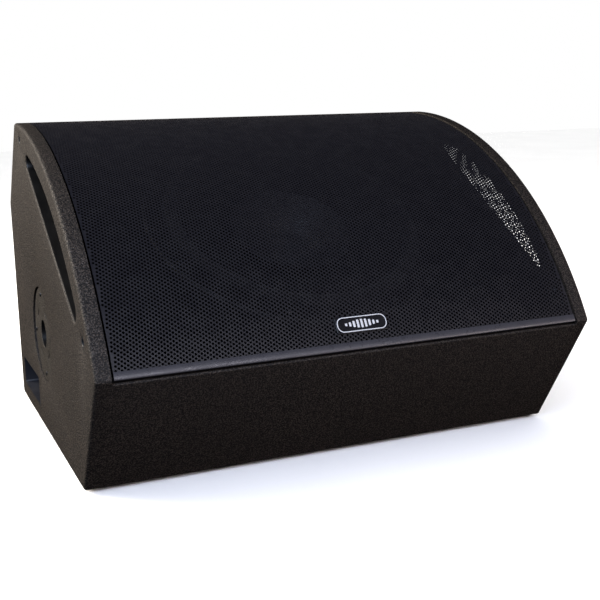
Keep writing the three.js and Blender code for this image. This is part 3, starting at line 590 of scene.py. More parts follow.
# Near-black painted shade on the inside walls of the handle slots and the pole cups, where little light reaches
RECESS_SHADE = powder_coat("recess_painted_shade", (0.0025, 0.0023, 0.0022), 0.4)
CAST = powder_coat("painted_casting", (0.006, 0.006, 0.0065), 0.6, 650.0, 0.0005)
SCREW_STEEL = bare_metal("screw_steel", (0.06, 0.06, 0.065), 0.35)
ZINC = bare_metal("zinc_steel", (0.58, 0.57, 0.54), 0.3)
MACHINED = bare_metal("machined_steel", (0.5, 0.5, 0.5), 0.32, (1.0, 1.0, 8.0))
MATT = matt("matt_black", (0.0012, 0.0012, 0.0013))
GASKET = matt("gasket_fibre", (0.003, 0.0028, 0.0026))
FORMER = foil("coil_former")
TITANIUM = foil("titanium_foil")
RED_SLEEVE = sleeve("red_sleeve", (0.3, 0.012, 0.01))
BLACK_SLEEVE = sleeve("black_sleeve", (0.012, 0.012, 0.013))
WOOD = plywood("birch_plywood", (0.62, 0.44, 0.26), (0.45, 0.29, 0.15))
SURROUND = woven("surround_cloth", (0.002, 0.002, 0.0022), (0.0045, 0.0045, 0.0045), 1500.0, 0.9)
SPIDER_CLOTH = woven("spider_cloth", (0.24, 0.14, 0.05), (0.4, 0.26, 0.1), 1200.0)
CONE_PAPER = paper_cone("cone_paper")
COPPER = wound_wire_shaded_turns("copper_wire", 0.0011)
LAMINATE = circuit_laminate("circuit_board")
FIBRE = loose_fibre("wadding_fibre")
FERRITE = grained(
    "ferrite",
    ((0.022, 0.021, 0.022), (0.06, 0.058, 0.057)),
    (("noise", 300.0, 4.0), 0.35, 0.7),
    (("noise", 50.0), 0.3, 0.7, 0.6, 0.85),
    (("cells", 420.0, "SMOOTH_F1"), 0.0003, 0.4),
    Roughness=0.7, Metallic=0.1,
)
RUBBER = grained(
    "foot_rubber",
    ((0.012, 0.012, 0.012), (0.07, 0.066, 0.06)),
    (("noise", 130.0, 5.0, 0.7), 0.5, 0.8, 0.0, 0.5),
    (("noise", 300.0), 0.3, 0.7, 0.7, 0.92),
    (("noise", 1100.0, 3.0), 0.0002, 0.5),
    Roughness=0.8, Specular_IOR_Level=0.3,
)
PLASTIC = grained(
    "black_plastic",
    ((0.014, 0.014, 0.016), tinted((0.014, 0.014, 0.016), 1.35, 0.003)),
    (("noise", 40.0, 4.0), 0.35, 0.7),
    (("cells", 1500.0), 0.0, 0.7, 0.37, 0.55),
    (("cells", 1500.0), 0.00012, 0.4),
    Roughness=0.45, Specular_IOR_Level=0.45,
)
TAPE_WRAP = ("noise", 90.0, 3.0, 0.5, (0.2, 1.0, 1.0))
FILM = grained(
    "capacitor_film",
    ((0.62, 0.5, 0.09), tinted((0.62, 0.5, 0.09), 0.7)),
    (TAPE_WRAP, 0.3, 0.7),
    (TAPE_WRAP, 0.3, 0.7, 0.22, 0.4),
    (TAPE_WRAP, 0.0002, 0.3),
    Roughness=0.3, Coat_Weight=0.4, Coat_Roughness=0.12,
)
CLAY_PITS = ("noise", 700.0, 4.0, 0.7)
CLAY = grained(
    "ceramic_block",
    ((0.62, 0.6, 0.55), (0.82, 0.8, 0.75)),
    (CLAY_PITS, 0.35, 0.7),
    (CLAY_PITS, 0.3, 0.7, 0.85, 0.65),
    (CLAY_PITS, 0.0003, 0.5),
    Roughness=0.75,
)


# ---------- making pieces ----------

SMOOTH_ANGLE = math.radians(32)


def piece(name, shape, place, finish, slot=None, body="cabinet", node=None):
    """A mesh piece from a shape in millimetres, riding on a body unless that is None.

    finish is one material or a list. shape[2] says which one each face has; the last serves for any beyond it.
    """
    verts, faces = shape[:2]
    world = [place @ Vector(v) for v in verts]
    if place.determinant() < 0:
        faces = [face[::-1] for face in faces]
    mesh = bpy.data.meshes.new(name)
    mesh.from_pydata(world, [], faces)
    finishes = finish if isinstance(finish, list) else [finish]
    for each in finishes:
        mesh.materials.append(each)
    if len(finishes) > 1:
        mesh.polygons.foreach_set("material_index", [min(k, len(finishes) - 1) for k in shape[2]])
    mesh.polygons.foreach_set("use_smooth", [True] * len(faces))
    mesh.set_sharp_from_angle(angle=SMOOTH_ANGLE)
    mesh.validate()
    made = bpy.data.objects.new(name, mesh)
    bpy.context.scene.collection.objects.link(made)
    if body:
        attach(made, body)
    if node:
        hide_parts(node)
    return made


def part(name, *words):
    """A piece in place of the CAD node of the same name."""
    return piece(name, *words, node=name)


def spun(name, section, segments, *words):
    """A turned part on the driver's axis."""
    return part(name, lathe(section, segments), ON_BAFFLE, *words)


def owners(shape, second):
    """The shape, with the second material on the faces whose middle passes the test."""
    verts, faces = shape
    middles = ([sum(verts[i][k] for i in face) / len(face) for k in range(3)] for face in faces)
    return verts, faces, [int(second(*middle)) for middle in middles]


def at(frame_of, *spot):
    """A frame moved along its own axes, in millimetres."""
    return frame_of @ Matrix.Translation(spot)


# ---------- cabinet panels ----------

SLOT_ARC = 458.0
SLOT_LOW, SLOT_HIGH = 12.0, 10.0
POLE = {"y": 219.0, "z": 134.5, "flange": 61.5, "thickness": 3.0, "bore": 18.0, "wall": 2.5, "depth": 75.0}
SINK = 2.5  # from the panel's face down to the flange's
INSERTS = {"front": (-42.6, 184.0), "top": (296.0, 380.0)}
DISH = {"y": 331.0, "z": 42.5, "width": 122.0, "height": 41.0, "depth": 41.0, "wall": 1.5}
CORNER = 5.0
CLEAT = {"width": 14.0, "height": 18.0, "reach": 205.0}
REBATE = 0.6  # round the pole flange
INSERT_HOLE = 6.3
# The slot's round-over, and how far in from the panel's face and the slot's outline its walls take painted
# shade
SLOT_WALL_SHADE = {"round": 3.0, "from_face": 1.6, "reach": 3.2}  # the slot's walls, from the panel's face and outline
SIDES = ((-1, "left"), (1, "right"))


def slot_loop(chord=BAFFLE_OFFSET, radius=SLOT_ARC):
    """The long slot, between a chord just in front of the baffle and an arc."""
    normal = TILT + QUARTER
    low = normal + math.acos((chord + SLOT_LOW) / (radius - SLOT_LOW))
    high = normal - math.acos((chord + SLOT_HIGH) / (radius - SLOT_HIGH))
    loop = arc(add(centre, heading(high), radius - SLOT_HIGH), SLOT_HIGH, normal - math.pi, high, 12)
    loop += arc(centre, radius, high, low, 48)[1:-1]
    return loop + arc(add(centre, heading(low), radius - SLOT_LOW), SLOT_LOW, low, normal + math.pi, 12)


def side_loop():
    towards_top = heading(LIP_ANGLE - QUARTER)
    from_top = (-1.0, 0.0)
    line = [lip, bottom_front, bottom_back, rear_bend, top_back, add(top_back, from_top)]
    loop = []
    for before, corner, after in zip(line, line[1:], line[2:]):
        loop += fillet(before, corner, after, CORNER)
    last = fillet(add(lip, towards_top), lip, bottom_front, CORNER)
    start = math.atan2(loop[-1][1] - centre[1], loop[-1][0] - centre[0])
    end = math.atan2(last[0][1] - centre[1], last[0][0] - centre[0])
    return loop + arc(centre, ARC_RADIUS, start, end, 96)[1:-1] + last


def panel_frame(side):
    """(y, z) of the cabinet with the third axis out of a side panel, from its inner face."""
    out = (0, 0, side, side * (WIDTH / 2 - SIDE))
    return CABINET @ Matrix((out, (1, 0, 0, 0), (0, 1, 0, 0), (0, 0, 0, 1)))


def side_panel(side, name):
    slot = slot_loop()
    holes = [(slot, round_over(SIDE, 0.0, SLOT_WALL_SHADE["round"], 5, 1.0), False)]
    rebate, seat = POLE["flange"] + REBATE, SIDE - SINK - POLE["thickness"] - GAP
    step = rebate - POLE["bore"] - POLE["wall"] - REBATE
    wall = [*round_over(SIDE, seat, 0.5, 2), (-step, seat), (-step, 0.0)]
    holes.append((circle(rebate, 120, (POLE["y"], POLE["z"])), wall, False))
    wall = round_over(SIDE, 0.0, 0.5, 2)
    holes += [(circle(INSERT_HOLE, 24, spot), wall, False) for spot in INSERTS.values()]
    if side < 0:
        opening = rectangle(DISH["width"] + 2 * GAP, DISH["height"] + 2 * GAP, DISH["y"], DISH["z"])
        holes.append((opening, [(0.0, SIDE), (0.0, 0.0)], False))
    around = inset(anticlockwise(slot), -SLOT_WALL_SHADE["reach"])
    shape = plate(side_loop(), round_over(SIDE, 0.0, EDGE_ROUND, 6), holes)
    # Painted shade on the slot's walls below the round-over
    shape = owners(shape, lambda y, z, x: x < SIDE - SLOT_WALL_SHADE["from_face"] and holds(around, (y, z)))
    part(name, shape, panel_frame(side), [PAINT, RECESS_SHADE], "textured_paint")


def spanning(name, section):
    """A panel between the two side panels, from its section in (y, z)."""
    reach = WIDTH / 2 - SIDE
    part(name, plate(section, [(0.0, reach), (0.0, -reach)]), ACROSS, PAINT, "textured_paint")


def halves(loop):
    middle = len(loop) // 2
    return loop[: middle + 1], loop[middle:]


def box_panels():
    front_low = meet(kick_inner, along_kick, bottom_front, (1.0, 0.0))
    front_high = meet(kick_inner, along_kick, (0.0, PANEL), (1.0, 0.0))
    notch = meet(lip, heading(LIP_ANGLE + math.pi), baffle_middle, up_baffle)
    kick_top = meet(kick_inner, along_kick, baffle_middle, up_baffle)
    lip_edge = fillet(notch, lip, bottom_front, 2.0)
    foot_edge = fillet(lip, bottom_front, front_low, CORNER)
    spanning("kick_panel", [*foot_edge, front_low, kick_top, notch, *lip_edge])
    back = BOTTOM_DEPTH - PANEL
    spanning("bottom_panel", [front_low, (back, 0.0), (back, PANEL), front_high])
    inner_bend = meet(upper_inner, along_upper, rear_inner, (0.0, 1.0))
    lower_arc, upper_arc = halves(fillet(bottom_back, rear_bend, top_back, CORNER))
    heel = fillet(rear_inner, bottom_back, rear_bend, CORNER)
    spanning("rear_panel", [rear_inner, *heel, *lower_arc, inner_bend])
    land = add(top_back, (-1.0, 0.0), TOP_LAND)
    crest = fillet(rear_bend, top_back, land, CORNER - 0.5)
    ledge = meet(land, (0.0, 1.0), baffle_middle, up_baffle)
    ledge_back = meet(upper_inner, along_upper, baffle_middle, up_baffle)
    spanning("upper_rear_panel", [inner_bend, *upper_arc, *crest, land, ledge, ledge_back])


def cleat(side, name):
    """A square batten with planed edges, screwed through from the side."""
    wide, tall, reach = CLEAT["width"], CLEAT["height"], CLEAT["reach"]
    bar = plate(rounded(rectangle(wide, tall), 1.6, 3), round_over(reach, -reach, 0.8, 2, 0.8))
    place = at(ON_BAFFLE, side * (WIDTH / 2 - SIDE - GAP - wide / 2), 0, -BAFFLE - GAP - tall / 2)
    part(name, bar, place @ Matrix.Rotation(-QUARTER, 4, "X"), WOOD, "raw_wood")


for side, word in SIDES:
    side_panel(side, f"side_panel_{word}")
box_panels()
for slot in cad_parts["baffle"].material_slots:  # its CAD shape is right
    slot.material = MATT
for side, word in SIDES:
    cleat(side, f"baffle_cleat_{word}")


# ---------- grille ----------

GRILLE = {"radius": 486.0, "thickness": 1.0, "side_gap": 2.3, "end_gap": 1.2, "bend": 2.2, "flange": 6.0}
HOLE_RADIUS = 1.6
HOLE_SIDES = 8
STEP_A = np.array((3.657, 2.339))  # from hole to hole, in (x, up the sheet)
STEP_B = np.array((3.03, -2.506))
MARGIN = {"side": 0.9, "low": 3.2, "top": 5.0}
STRIPS = 5
grille_end = GRILLE["bend"] + GRILLE["thickness"] / 2 + GRILLE["end_gap"]
grille_top = QUARTER + math.atan((TOP_LAND + grille_end) / GRILLE["radius"])
grille_low = LIP_ANGLE - grille_end / GRILLE["radius"]
sheet_length = (grille_low - grille_top) * GRILLE["radius"]
sheet_half = WIDTH / 2 - SIDE - GAP - GRILLE["side_gap"]
END_PIECES, SIDE_PIECES = 19, 83  # of the two straight ends and the two long edges of each strip


def sheet_profile(shift):
    """The folds at the sheet's two ends, as lines in (y, z) from the sheet to the flange's edge."""
    ends = []
    for angle, way in ((grille_low, 1), (grille_top, -1)):
        heart = add(centre, heading(angle), GRILLE["radius"] - GRILLE["bend"])
        bend = arc(heart, GRILLE["bend"] + shift, angle, angle + way * QUARTER, 5)[1:]
        ends.append([*bend, add(bend[-1], heading(angle), -GRILLE["flange"])])
    return ends


def on_sheet(points, shift):
    """(x, up the sheet) points as cabinet millimetres, on the face that is shifted out from the middle."""
    points = np.asarray(points, float)
    angle = grille_low - points[:, 1] / GRILLE["radius"]
    radius = GRILLE["radius"] + shift
    y, z = centre[0] + radius * np.cos(angle), centre[1] + radius * np.sin(angle)
    return np.column_stack((points[:, 0], y, z))


def seam(k):
    """The x of the sheet's edge or of the line between two strips, at a height up the sheet."""
    if k in (0, STRIPS):
        return lambda s: sheet_half * (1 if k else -1)
    along = STEP_B - STEP_A
    slope = along[0] / along[1]
    spacing = STEP_A[0] - STEP_A[1] * along[0] / along[1]
    row = round((k / STRIPS - 0.5) * 2 * sheet_half / spacing)
    return lambda s: (row - 0.5) * spacing + (s - sheet_length / 2) * slope


def lattice(middle, step_a, step_b, reach, wanted):
    """The points of a lattice of holes that pass a test."""
    steps = range(-reach, reach + 1)
    points = (tuple(middle + i * step_a + j * step_b) for i in steps for j in steps)
    return [p for p in points if wanted(*p)]


def perforated(border, centres):
    """A border with round holes: its points, border first, and the faces on both sides and in the holes.

    The back of point i is point i + len(points). Only the border's own walls are left out.
    """
    turns = [2 * math.pi * (i + 0.5) / HOLE_SIDES for i in range(HOLE_SIDES)]
    rim = [(HOLE_RADIUS * math.cos(a), HOLE_RADIUS * math.sin(a)) for a in turns]
    flat = border + [(x + u, s + v) for x, s in centres for u, v in rim]
    first, count = len(border), len(flat)
    edges = [(i, (i + 1) % first) for i in range(first)]
    for start in range(first, count, HOLE_SIDES):
        edges += [(start + i, start + (i + 1) % HOLE_SIDES) for i in range(HOLE_SIDES)]
    _, _, tris, origin, _, _ = delaunay_2d_cdt([Vector(p) for p in flat], edges, [], 1, TOLERANCE)
    tris = np.array([[origin[i][0] for i in tri] for tri in tris])
    hole = np.where(tris >= first, (tris - first) // HOLE_SIDES, -1 - tris)
    tris = tris[~((hole[:, 0] == hole[:, 1]) & (hole[:, 1] == hole[:, 2]))]
    a, b, c = (np.asarray(flat)[tris[:, i]] for i in range(3))
    turn = (b - a)[:, 0] * (c - a)[:, 1] - (b - a)[:, 1] * (c - a)[:, 0]
    tris[turn < 0] = tris[turn < 0][:, ::-1]
    faces = tris.tolist() + (tris[:, ::-1] + count).tolist()
    for start in range(first, count, HOLE_SIDES):
        for i in range(HOLE_SIDES):
            p, q = start + i, start + (i + 1) % HOLE_SIDES
            faces.append((p, q, q + count, p + count))
    return flat, faces


def grille_strip(k, name):
    left, right = seam(k), seam(k + 1)
    rows = np.linspace(0, sheet_length, SIDE_PIECES + 1)
    low_x, top_x = (np.linspace(left(s), right(s), END_PIECES + 1) for s in (0, sheet_length))
    border = [(x, 0.0) for x in low_x[:-1]] + [(right(s), s) for s in rows[:-1]]
    border += [(x, sheet_length) for x in top_x[:0:-1]] + [(left(s), s) for s in rows[:0:-1]]
    first = len(border)
    reach = sheet_half - MARGIN["side"] - HOLE_RADIUS
    low, high = MARGIN["low"] + HOLE_RADIUS, sheet_length - MARGIN["top"] - HOLE_RADIUS

    def wanted(x, s):
        return low < s < high and abs(x) < reach and left(s) < x < right(s)

    centres = lattice(np.array((0.0, sheet_length / 2)), STEP_A, STEP_B, 150, wanted)
    flat, faces = perforated(border, centres)
    half, count = GRILLE["thickness"] / 2, len(flat)
    verts = np.vstack((on_sheet(flat, half), on_sheet(flat, -half))).tolist()
    corner = END_PIECES + SIDE_PIECES
    low_row, top_row = range(END_PIECES + 1), range(corner, corner + END_PIECES + 1)[::-1]
    walls = [*range(END_PIECES, corner), *range(corner + END_PIECES, first)]
    faces += [((p + 1) % first, p, p + count, (p + 1) % first + count) for p in walls]
    for end, (row, xs) in enumerate(((low_row, low_x), (top_row, top_x))):
        lines = []
        for shift, base in ((half, 0), (-half, count)):
            rings = [[i + base for i in row]]
            for y, z in sheet_profile(shift)[end]:
                rings.append(range(len(verts), len(verts) + len(xs)))
                verts += [(x, y, z) for x in xs]
            lines.append(rings)
        outer, inner = lines
        path = outer + inner[::-1]  # down the outside, round the flange's edge and back up the inside
        quads = []
        for near, far in zip(path, path[1:]):
            quads += [(near[i], far[i], far[i + 1], near[i + 1]) for i in range(END_PIECES)]
        for column, flip in ((0, False), (END_PIECES, True)):
            for o0, o1, i0, i1 in zip(outer, outer[1:], inner, inner[1:]):
                quad = (o0[column], i0[column], i1[column], o1[column])
                quads.append(quad[::-1] if flip else quad)
        faces += quads if end == 0 else [q[::-1] for q in quads]
    return piece(name, (verts, faces), CABINET, GRILLE_PAINT, "grille_paint")


sheets = [grille_strip(k, f"grille_sheet_{k + 1}") for k in range(STRIPS)]
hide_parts("grille")

HEM = {"low": -2.9, "high": 6.4, "lift": 0.05, "height": 1.0}


def grille_hem():
    """The sheet's lower end, turned back over itself as a smooth crowned bar, painted lighter than the sheet as
    a painted highlight.
    """
    middle, half = (HEM["low"] + HEM["high"]) / 2, (HEM["high"] - HEM["low"]) / 2
    loop = []
    for across, rise in arc((0.0, 0.0), 1.0, 0.0, math.pi, 20):
        shift = GRILLE["thickness"] / 2 + HEM["lift"] + HEM["height"] * rise
        loop.append(tuple(on_sheet([(0.0, middle - half * across)], shift)[0][1:]))
    shape = plate(anticlockwise(loop), [(0.0, sheet_half), (0.0, -sheet_half)])
    piece("grille_hem", shape, ACROSS, HEM_PAINTED_HIGHLIGHT, "grille_paint")


SCREEN = {"chord": BAFFLE_OFFSET + 0.5, "radius": SLOT_ARC + 6.0, "margin": 3.0, "front": -0.2, "back": -0.8}
SCREEN_A = np.array((0.36, -4.15))  # from hole to hole, in (y, z)
SCREEN_B = np.array((-4.22, 1.3))


def slot_screen(side, name):
    """The perforated screen against a side panel's inner face, over its slot."""
    border = anticlockwise(slot_loop(SCREEN["chord"], SCREEN["radius"]))
    inner = inset(border, SCREEN["margin"])
    centres = lattice(np.mean(border, axis=0), SCREEN_A, SCREEN_B, 80, lambda y, z: holds(inner, (y, z)))
    flat, faces = perforated(border, centres)
    count, first = len(flat), len(border)
    verts = [(y, z, x) for x in (SCREEN["front"], SCREEN["back"]) for y, z in flat]
    faces += [((i + 1) % first, i, i + count, (i + 1) % first + count) for i in range(first)]
    piece(name, (verts, faces), panel_frame(side), GRILLE_PAINT, "grille_paint")


grille_hem()
for side, word in SIDES:
    slot_screen(side, f"slot_screen_{word}")


# ---------- badge ----------

BADGE = {"width": 66.0, "height": 21.0, "thickness": 2.0, "corner": 3.0, "border": 9.5, "above_lip": 30.7}


def badge():
    """A plate with a generic row of level bars inside a plain border."""
    angle = LIP_ANGLE - BADGE["above_lip"] / GRILLE["radius"]
    spot = add(centre, heading(angle), GRILLE["radius"] + GRILLE["thickness"] / 2 + GAP)
    width, height, top = BADGE["width"], BADGE["height"], BADGE["thickness"]
    parts = [plate(rounded(rectangle(width, height), BADGE["corner"]), round_over(top, 0.0, 0.6, 3))]
    outer, inner = (
        rounded(rectangle(width - 2 * k, height - 2 * k), BADGE["border"] - k, 10) for k in (1.4, 2.5)
    )
    raised = [(0.0, top + 0.25), (0.0, top - 0.2)]
    parts.append(plate(outer, raised, [(inner, raised, False)]))
    bars, pitch = 9, 5.0
    for i in range(bars):
        tall = 3.0 + 7.5 * math.sin(math.pi * (i + 0.7) / (bars + 0.4)) ** 2
        bar = rounded(rectangle(2.8, tall, (i - (bars - 1) / 2) * pitch), 0.7, 3)
        parts.append(plate(bar, [(0.25, top + 0.25), (0.0, top + 0.1), (0.0, top - 0.2)]))
    place = at(CABINET, 0, *spot) @ Matrix.Rotation(angle - QUARTER, 4, "X")
    part("badge", merged(*parts), place, [BADGE_PAINT, WHITE_MARK], "badge_plate")


badge()


# ---------- screws ----------


THREAD = 1.2  # pitch


def cross(size, width):
    """The outline of a cross recess."""
    w = width / 2
    turns = [heading(QUARTER * k) for k in range(4)]
    return [(x * c - y * s, x * s + y * c) for c, s in turns for x, y in ((size, -w), (size, w), (w, w))]


def screw_shape(radius, height, shank=0.0, length=0.0):
    """A pan-head screw with a cross recess, its head sitting on local Z = 0."""
    dome = [(0.45, 1.0), (0.3, 0.95), (0.14, 0.8), (0.04, 0.55), (0.0, 0.3), (0.0, 0.0)]
    dome = [(radius * into, height * rise) for into, rise in dome]
    floor = [(0.0, height), (0.04 * radius, height * 0.35)]
    head = plate(circle(radius, 24), dome, [(cross(radius * 0.42, radius * 0.2), floor, True)])
    if not shank:
        return head
    threads = [(0.0, -0.05)]
    for i in range(int(length / THREAD)):
        top = -THREAD * i
        threads += [(shank, top - 0.05), (shank, top - 0.5), (shank * 0.8, top - 0.85)]
    threads += [(shank * 0.8, 0.8 - length), (0.0, -length)]
    return merged(head, lathe(threads, 12))


def screws(name, place, spots, turn, *sizes):
    """Small screws without a CAD node, numbered in order, each turned by its own angle."""
    for i, spot in enumerate(spots):
        stood = at(place, *spot) @ Matrix.Rotation(turn(i), 4, "Z")
        piece(f"{name}_{i + 1}", screw_shape(*sizes), stood, SCREW_STEEL)


def ring_of(count, radius, first, height):
    """Spots spread evenly round a circle, at a height."""
    turns = (heading(first + 2 * math.pi * i / count) for i in range(count))
    return [(radius * c, radius * s, height) for c, s in turns]


# ---------- pole sockets and inserts --------------------------

INDEX = {"radius": 37.0, "width": 3.0, "sweep": math.radians(16), "angles": (52, 142, 232, 322)}
FLANGE_SCREWS = {"radius": 52.0, "first": math.radians(4)}


def band(radius, width, angle, sweep, steps=10):
    """A curved slot with round ends, part of a ring."""
    start, end, half = angle - sweep / 2, angle + sweep / 2, width / 2
    origin = (0.0, 0.0)
    loop = arc(origin, radius + half, start, end, steps)
    loop += arc(add(origin, heading(end), radius), half, end, end + math.pi, 6)[1:-1]
    loop += arc(origin, radius - half, end, start, steps)
    return loop + arc(add(origin, heading(start), radius), half, start + math.pi, start + 2 * math.pi, 6)[1:-1]


def pole_socket(side, name):
    t, bore, wall, depth = POLE["thickness"], POLE["bore"], POLE["wall"], POLE["depth"]
    place = at(on_side(side, POLE["y"], POLE["z"]), 0, 0, -t - SINK)
    throat = [(1.2, t), (0.8, t), (0.3, t - 0.2), (0.05, t - 0.5), (0.0, t - 1.0), (0.0, 1.5 - depth)]
    throat += [(-1.0, wall - depth), (5.0 - bore, wall - depth), (5.0 - bore, -depth)]
    throat += [(wall, -depth), (wall, 0.0)]
    holes = [(circle(bore, 72), throat, False)]
    for angle in INDEX["angles"]:
        loop = band(INDEX["radius"], INDEX["width"], math.radians(angle), INDEX["sweep"])
        holes.append((loop, round_over(t, 0.0, 0.4, 2), False))
    shape = plate(circle(POLE["flange"], 120), round_over(t, 0.0, 1.0, 4), holes)
    # Painted shade on the inside of the pole cup
    shape = owners(shape, lambda x, y, z: z < t - 0.6 and math.hypot(x, y) < bore + wall + 1.0)
    part(name, shape, place, [FLANGE_PAINT, RECESS_SHADE], "painted_flange")
    spots = ring_of(4, FLANGE_SCREWS["radius"], FLANGE_SCREWS["first"], t)
    screws(f"{name}_screw", place, spots, lambda i: 0.4 + i, 3.2, 1.3)


def insert(side, spot, name):
    """Threaded steel bush for a bracket bolt."""
    section = [(4.6, -0.2), (6.0, -0.2), (6.0, -16.0), (4.0, -16.0)]
    pitch = 1.25
    for i in range(12):
        low = -15.6 + pitch * i
        section += [(4.0, low), (4.5, low + pitch / 2)]
    part(name, lathe([*section, (4.0, -0.8)], 36), on_side(side, *spot), BLACK_STEEL, "black_steel")


for side, word in SIDES:
    pole_socket(side, f"pole_socket_{word}")
    for spot_name, spot in INSERTS.items():
        insert(side, spot, f"bracket_insert_{spot_name}_{word}")


# ---------- connector dish and sockets ----------

SOCKET = {"spacing": 54.0, "width": 26.0, "height": 31.0, "opening": 11.0, "outer": 12.0, "bottom": -22.0}
KEYWAY = {"half_angle": 0.16, "depth": 0.35}


def connector_dish():
    """Steel tray with round inner corners; the sockets sit in two holes in its floor."""
    w, h, wall, depth = DISH["width"], DISH["height"], DISH["wall"], DISH["depth"]
    place = on_side(-1, DISH["y"], DISH["z"])  # local X up, local Y towards the back
    outer = rounded(rectangle(h, w), 0.8, 2)
    inner = rounded(rectangle(h - 2 * wall, w - 2 * wall), 4.0, 5)
    floor = wall - depth
    hole = (inner, round_over(-GAP, floor, 0.5, 2), False)
    rim = plate(outer, [(0.3, -GAP), (0.0, -0.6), (0.0, floor)], [hole])
    slab = [(0.0, floor), (0.0, -depth)]
    spots = [(0.0, way * SOCKET["spacing"] / 2) for way in (-1, 1)]
    base = plate(outer, slab, [(circle(SOCKET["outer"] + GAP, 40, spot), slab, False) for spot in spots])
    part("connector_dish", merged(rim, base), place, DISH_STEEL, "black_steel")


def speaker_socket(way, name):
    """Round twist-lock socket: flange, keyed ring, post with a slot, and four contact blades."""
    opening, outer, bottom = SOCKET["opening"], SOCKET["outer"], SOCKET["bottom"]
    spot = (0.0, way * SOCKET["spacing"] / 2, DISH["wall"] - DISH["depth"])
    place = at(on_side(-1, DISH["y"], DISH["z"]), *spot)
    hole = (circle(outer - 0.2, 48), [(0, 2.0), (0, 0.0)], False)
    edge = rounded(rectangle(SOCKET["height"], SOCKET["width"]), 3.0, 5)
    flange = plate(edge, round_over(2.0, 0.0, 0.5, 3), [hole])
    keyed = []
    for i in range(72):
        angle = 2 * math.pi * i / 72
        notch = min(abs(angle - key) for key in (QUARTER, 3 * QUARTER)) < KEYWAY["half_angle"]
        keyed.append(add((0.0, 0.0), heading(angle), opening + KEYWAY["depth"] * notch))
    well = (keyed, [(0.15, 4.0), (0.0, 3.8), (0.0, bottom)], True)
    barrel = plate(circle(outer, 72), round_over(4.0, bottom - 2.0, 0.3, 2), [well])
    slot = (rectangle(1.2, 6.4), [(0.0, 0.0), (0.0, -6.0)], True)
    post = plate(circle(5.0, 40), round_over(0.0, bottom, 0.7, 3), [slot])
    blade = plate(rectangle(0.8, 3.6, 8.6), round_over(-4.0, bottom, 0.2, 1))
    blades = [turned(blade, math.pi / 4 + QUARTER * i) for i in range(4)]
    shape = merged(merged(flange, barrel, post)[:2], *blades)
    part(name, shape, place, [PLASTIC, ZINC], "black_plastic")
    screws(f"{name}_screw", place, [(-12.6, -9.6, 2.0), (12.6, 9.6, 2.0)], lambda i: 0.0, 1.9, 0.9)


connector_dish()
speaker_socket(-1, "speaker_socket_in")
speaker_socket(1, "speaker_socket_link")


# ---------- feet ----------


FOOT = {"from_side": 45.0, "from_end": 45.0, "seat": 2.4}


def feet():
    section = [(2.6, 0.0), (2.6, 2.4), (5.2, 2.4), (5.2, 4.6), (5.6, 5.0)]
    for groove in (8.5, 11.5, 14.5):
        section += [(groove, 5.0), (groove + 0.3, 4.4), (groove + 0.9, 4.4), (groove + 1.2, 5.0)]
    section += [*fillet((0.0, 5.0), (19.0, 5.0), (20.0, 0.0), 1.2, 4), (19.9, 0.5), (19.5, 0.0)]
    for end, y in (("front", FOOT["from_end"]), ("rear", BOTTOM_DEPTH - FOOT["from_end"])):
        for side, word in SIDES:
            place = under(side * (WIDTH / 2 - FOOT["from_side"]), y)
            part(f"foot_{end}_{word}", lathe(section, 56), place, RUBBER, "foot_rubber")
            seat = at(place, 0, 0, FOOT["seat"])
            part(f"foot_screw_{end}_{word}", screw_shape(4.4, 1.7, 1.9, 13.6), seat, ZINC, "zinc_steel")


feet()


# ---------- the coaxial driver, along its axis from the baffle's front face ----------


def chamfered(inner, outer, low, high, cut=1.0):
    """The section of a ring with its four edges broken."""
    return [
        (inner + cut, low), (outer - cut, low), (outer, low + cut), (outer, high - cut),
        (outer - cut, high), (inner + cut, high), (inner, high - cut), (inner, low + cut),
    ]


def sector(section, start, sweep, steps=8):
    """Part of a body of revolution, closed at both ends."""
    section = anticlockwise(section)
    n = len(section)
    turns = [heading(start + sweep * k / steps) for k in range(steps + 1)]
    verts = [(r * c, r * s, z) for c, s in turns for r, z in section]
    rings = [range(k, k + n) for k in range(0, len(verts), n)]
    faces = [quad for low, high in zip(rings, rings[1:]) for quad in bridge(low, high)]
    return verts, [*faces, tuple(rings[0]), tuple(rings[-1])[::-1]]


def sheet(line, thickness):
    """The section of a thin part, from the line of its front."""
    return [*line, *[(r, z - thickness) for r, z in line[::-1]]]


SCREW_RING = (8, 186.0, math.pi / 8)  # how many, radius, first angle


def driver_basket():
    holes = [(circle(168.0, 120), round_over(6.3, 0.3, 0.8, 3), False)]
    for x, y, height in ring_of(*SCREW_RING, 6.3):
        holes.append((circle(2.8, 16, (x, y)), [(0, height), (0, 0.3)], False))
    flange = plate(circle(194.0, 144), round_over(6.3, 0.3, 1.2, 4), holes)
    shoulder = lathe([(169, 0.6), (163, -8), (152, -15.2), (152, -25.5), (172, -13), (175, 0.6)], 120)
    seat = [(108, -43.9), (90, -55.7), (78, -55.7), (78, -71.7), (60, -71.7)]
    seat += [(60, -77.7), (93, -77.7), (95, -61), (108, -52.9)]
    parts = [flange, shoulder, lathe(seat, 120)]
    arm = [(152.6, -14.9), (107.4, -44.3), (107.4, -53.3), (152.6, -25.1)]
    rib = [(156.0, -20.0), (104.0, -50.0), (101.0, -57.4), (158.0, -22.6)]
    for i in range(8):
        middle = i * math.pi / 4
        parts.append(sector(arm, middle - math.radians(11.5), math.radians(23)))
        for lean in (-9.0, 9.0):
            parts.append(sector(rib, middle + math.radians(lean - 1.1), math.radians(2.2), 2))
    part("driver_basket", merged(*parts), ON_BAFFLE, CAST, "cast_aluminium")


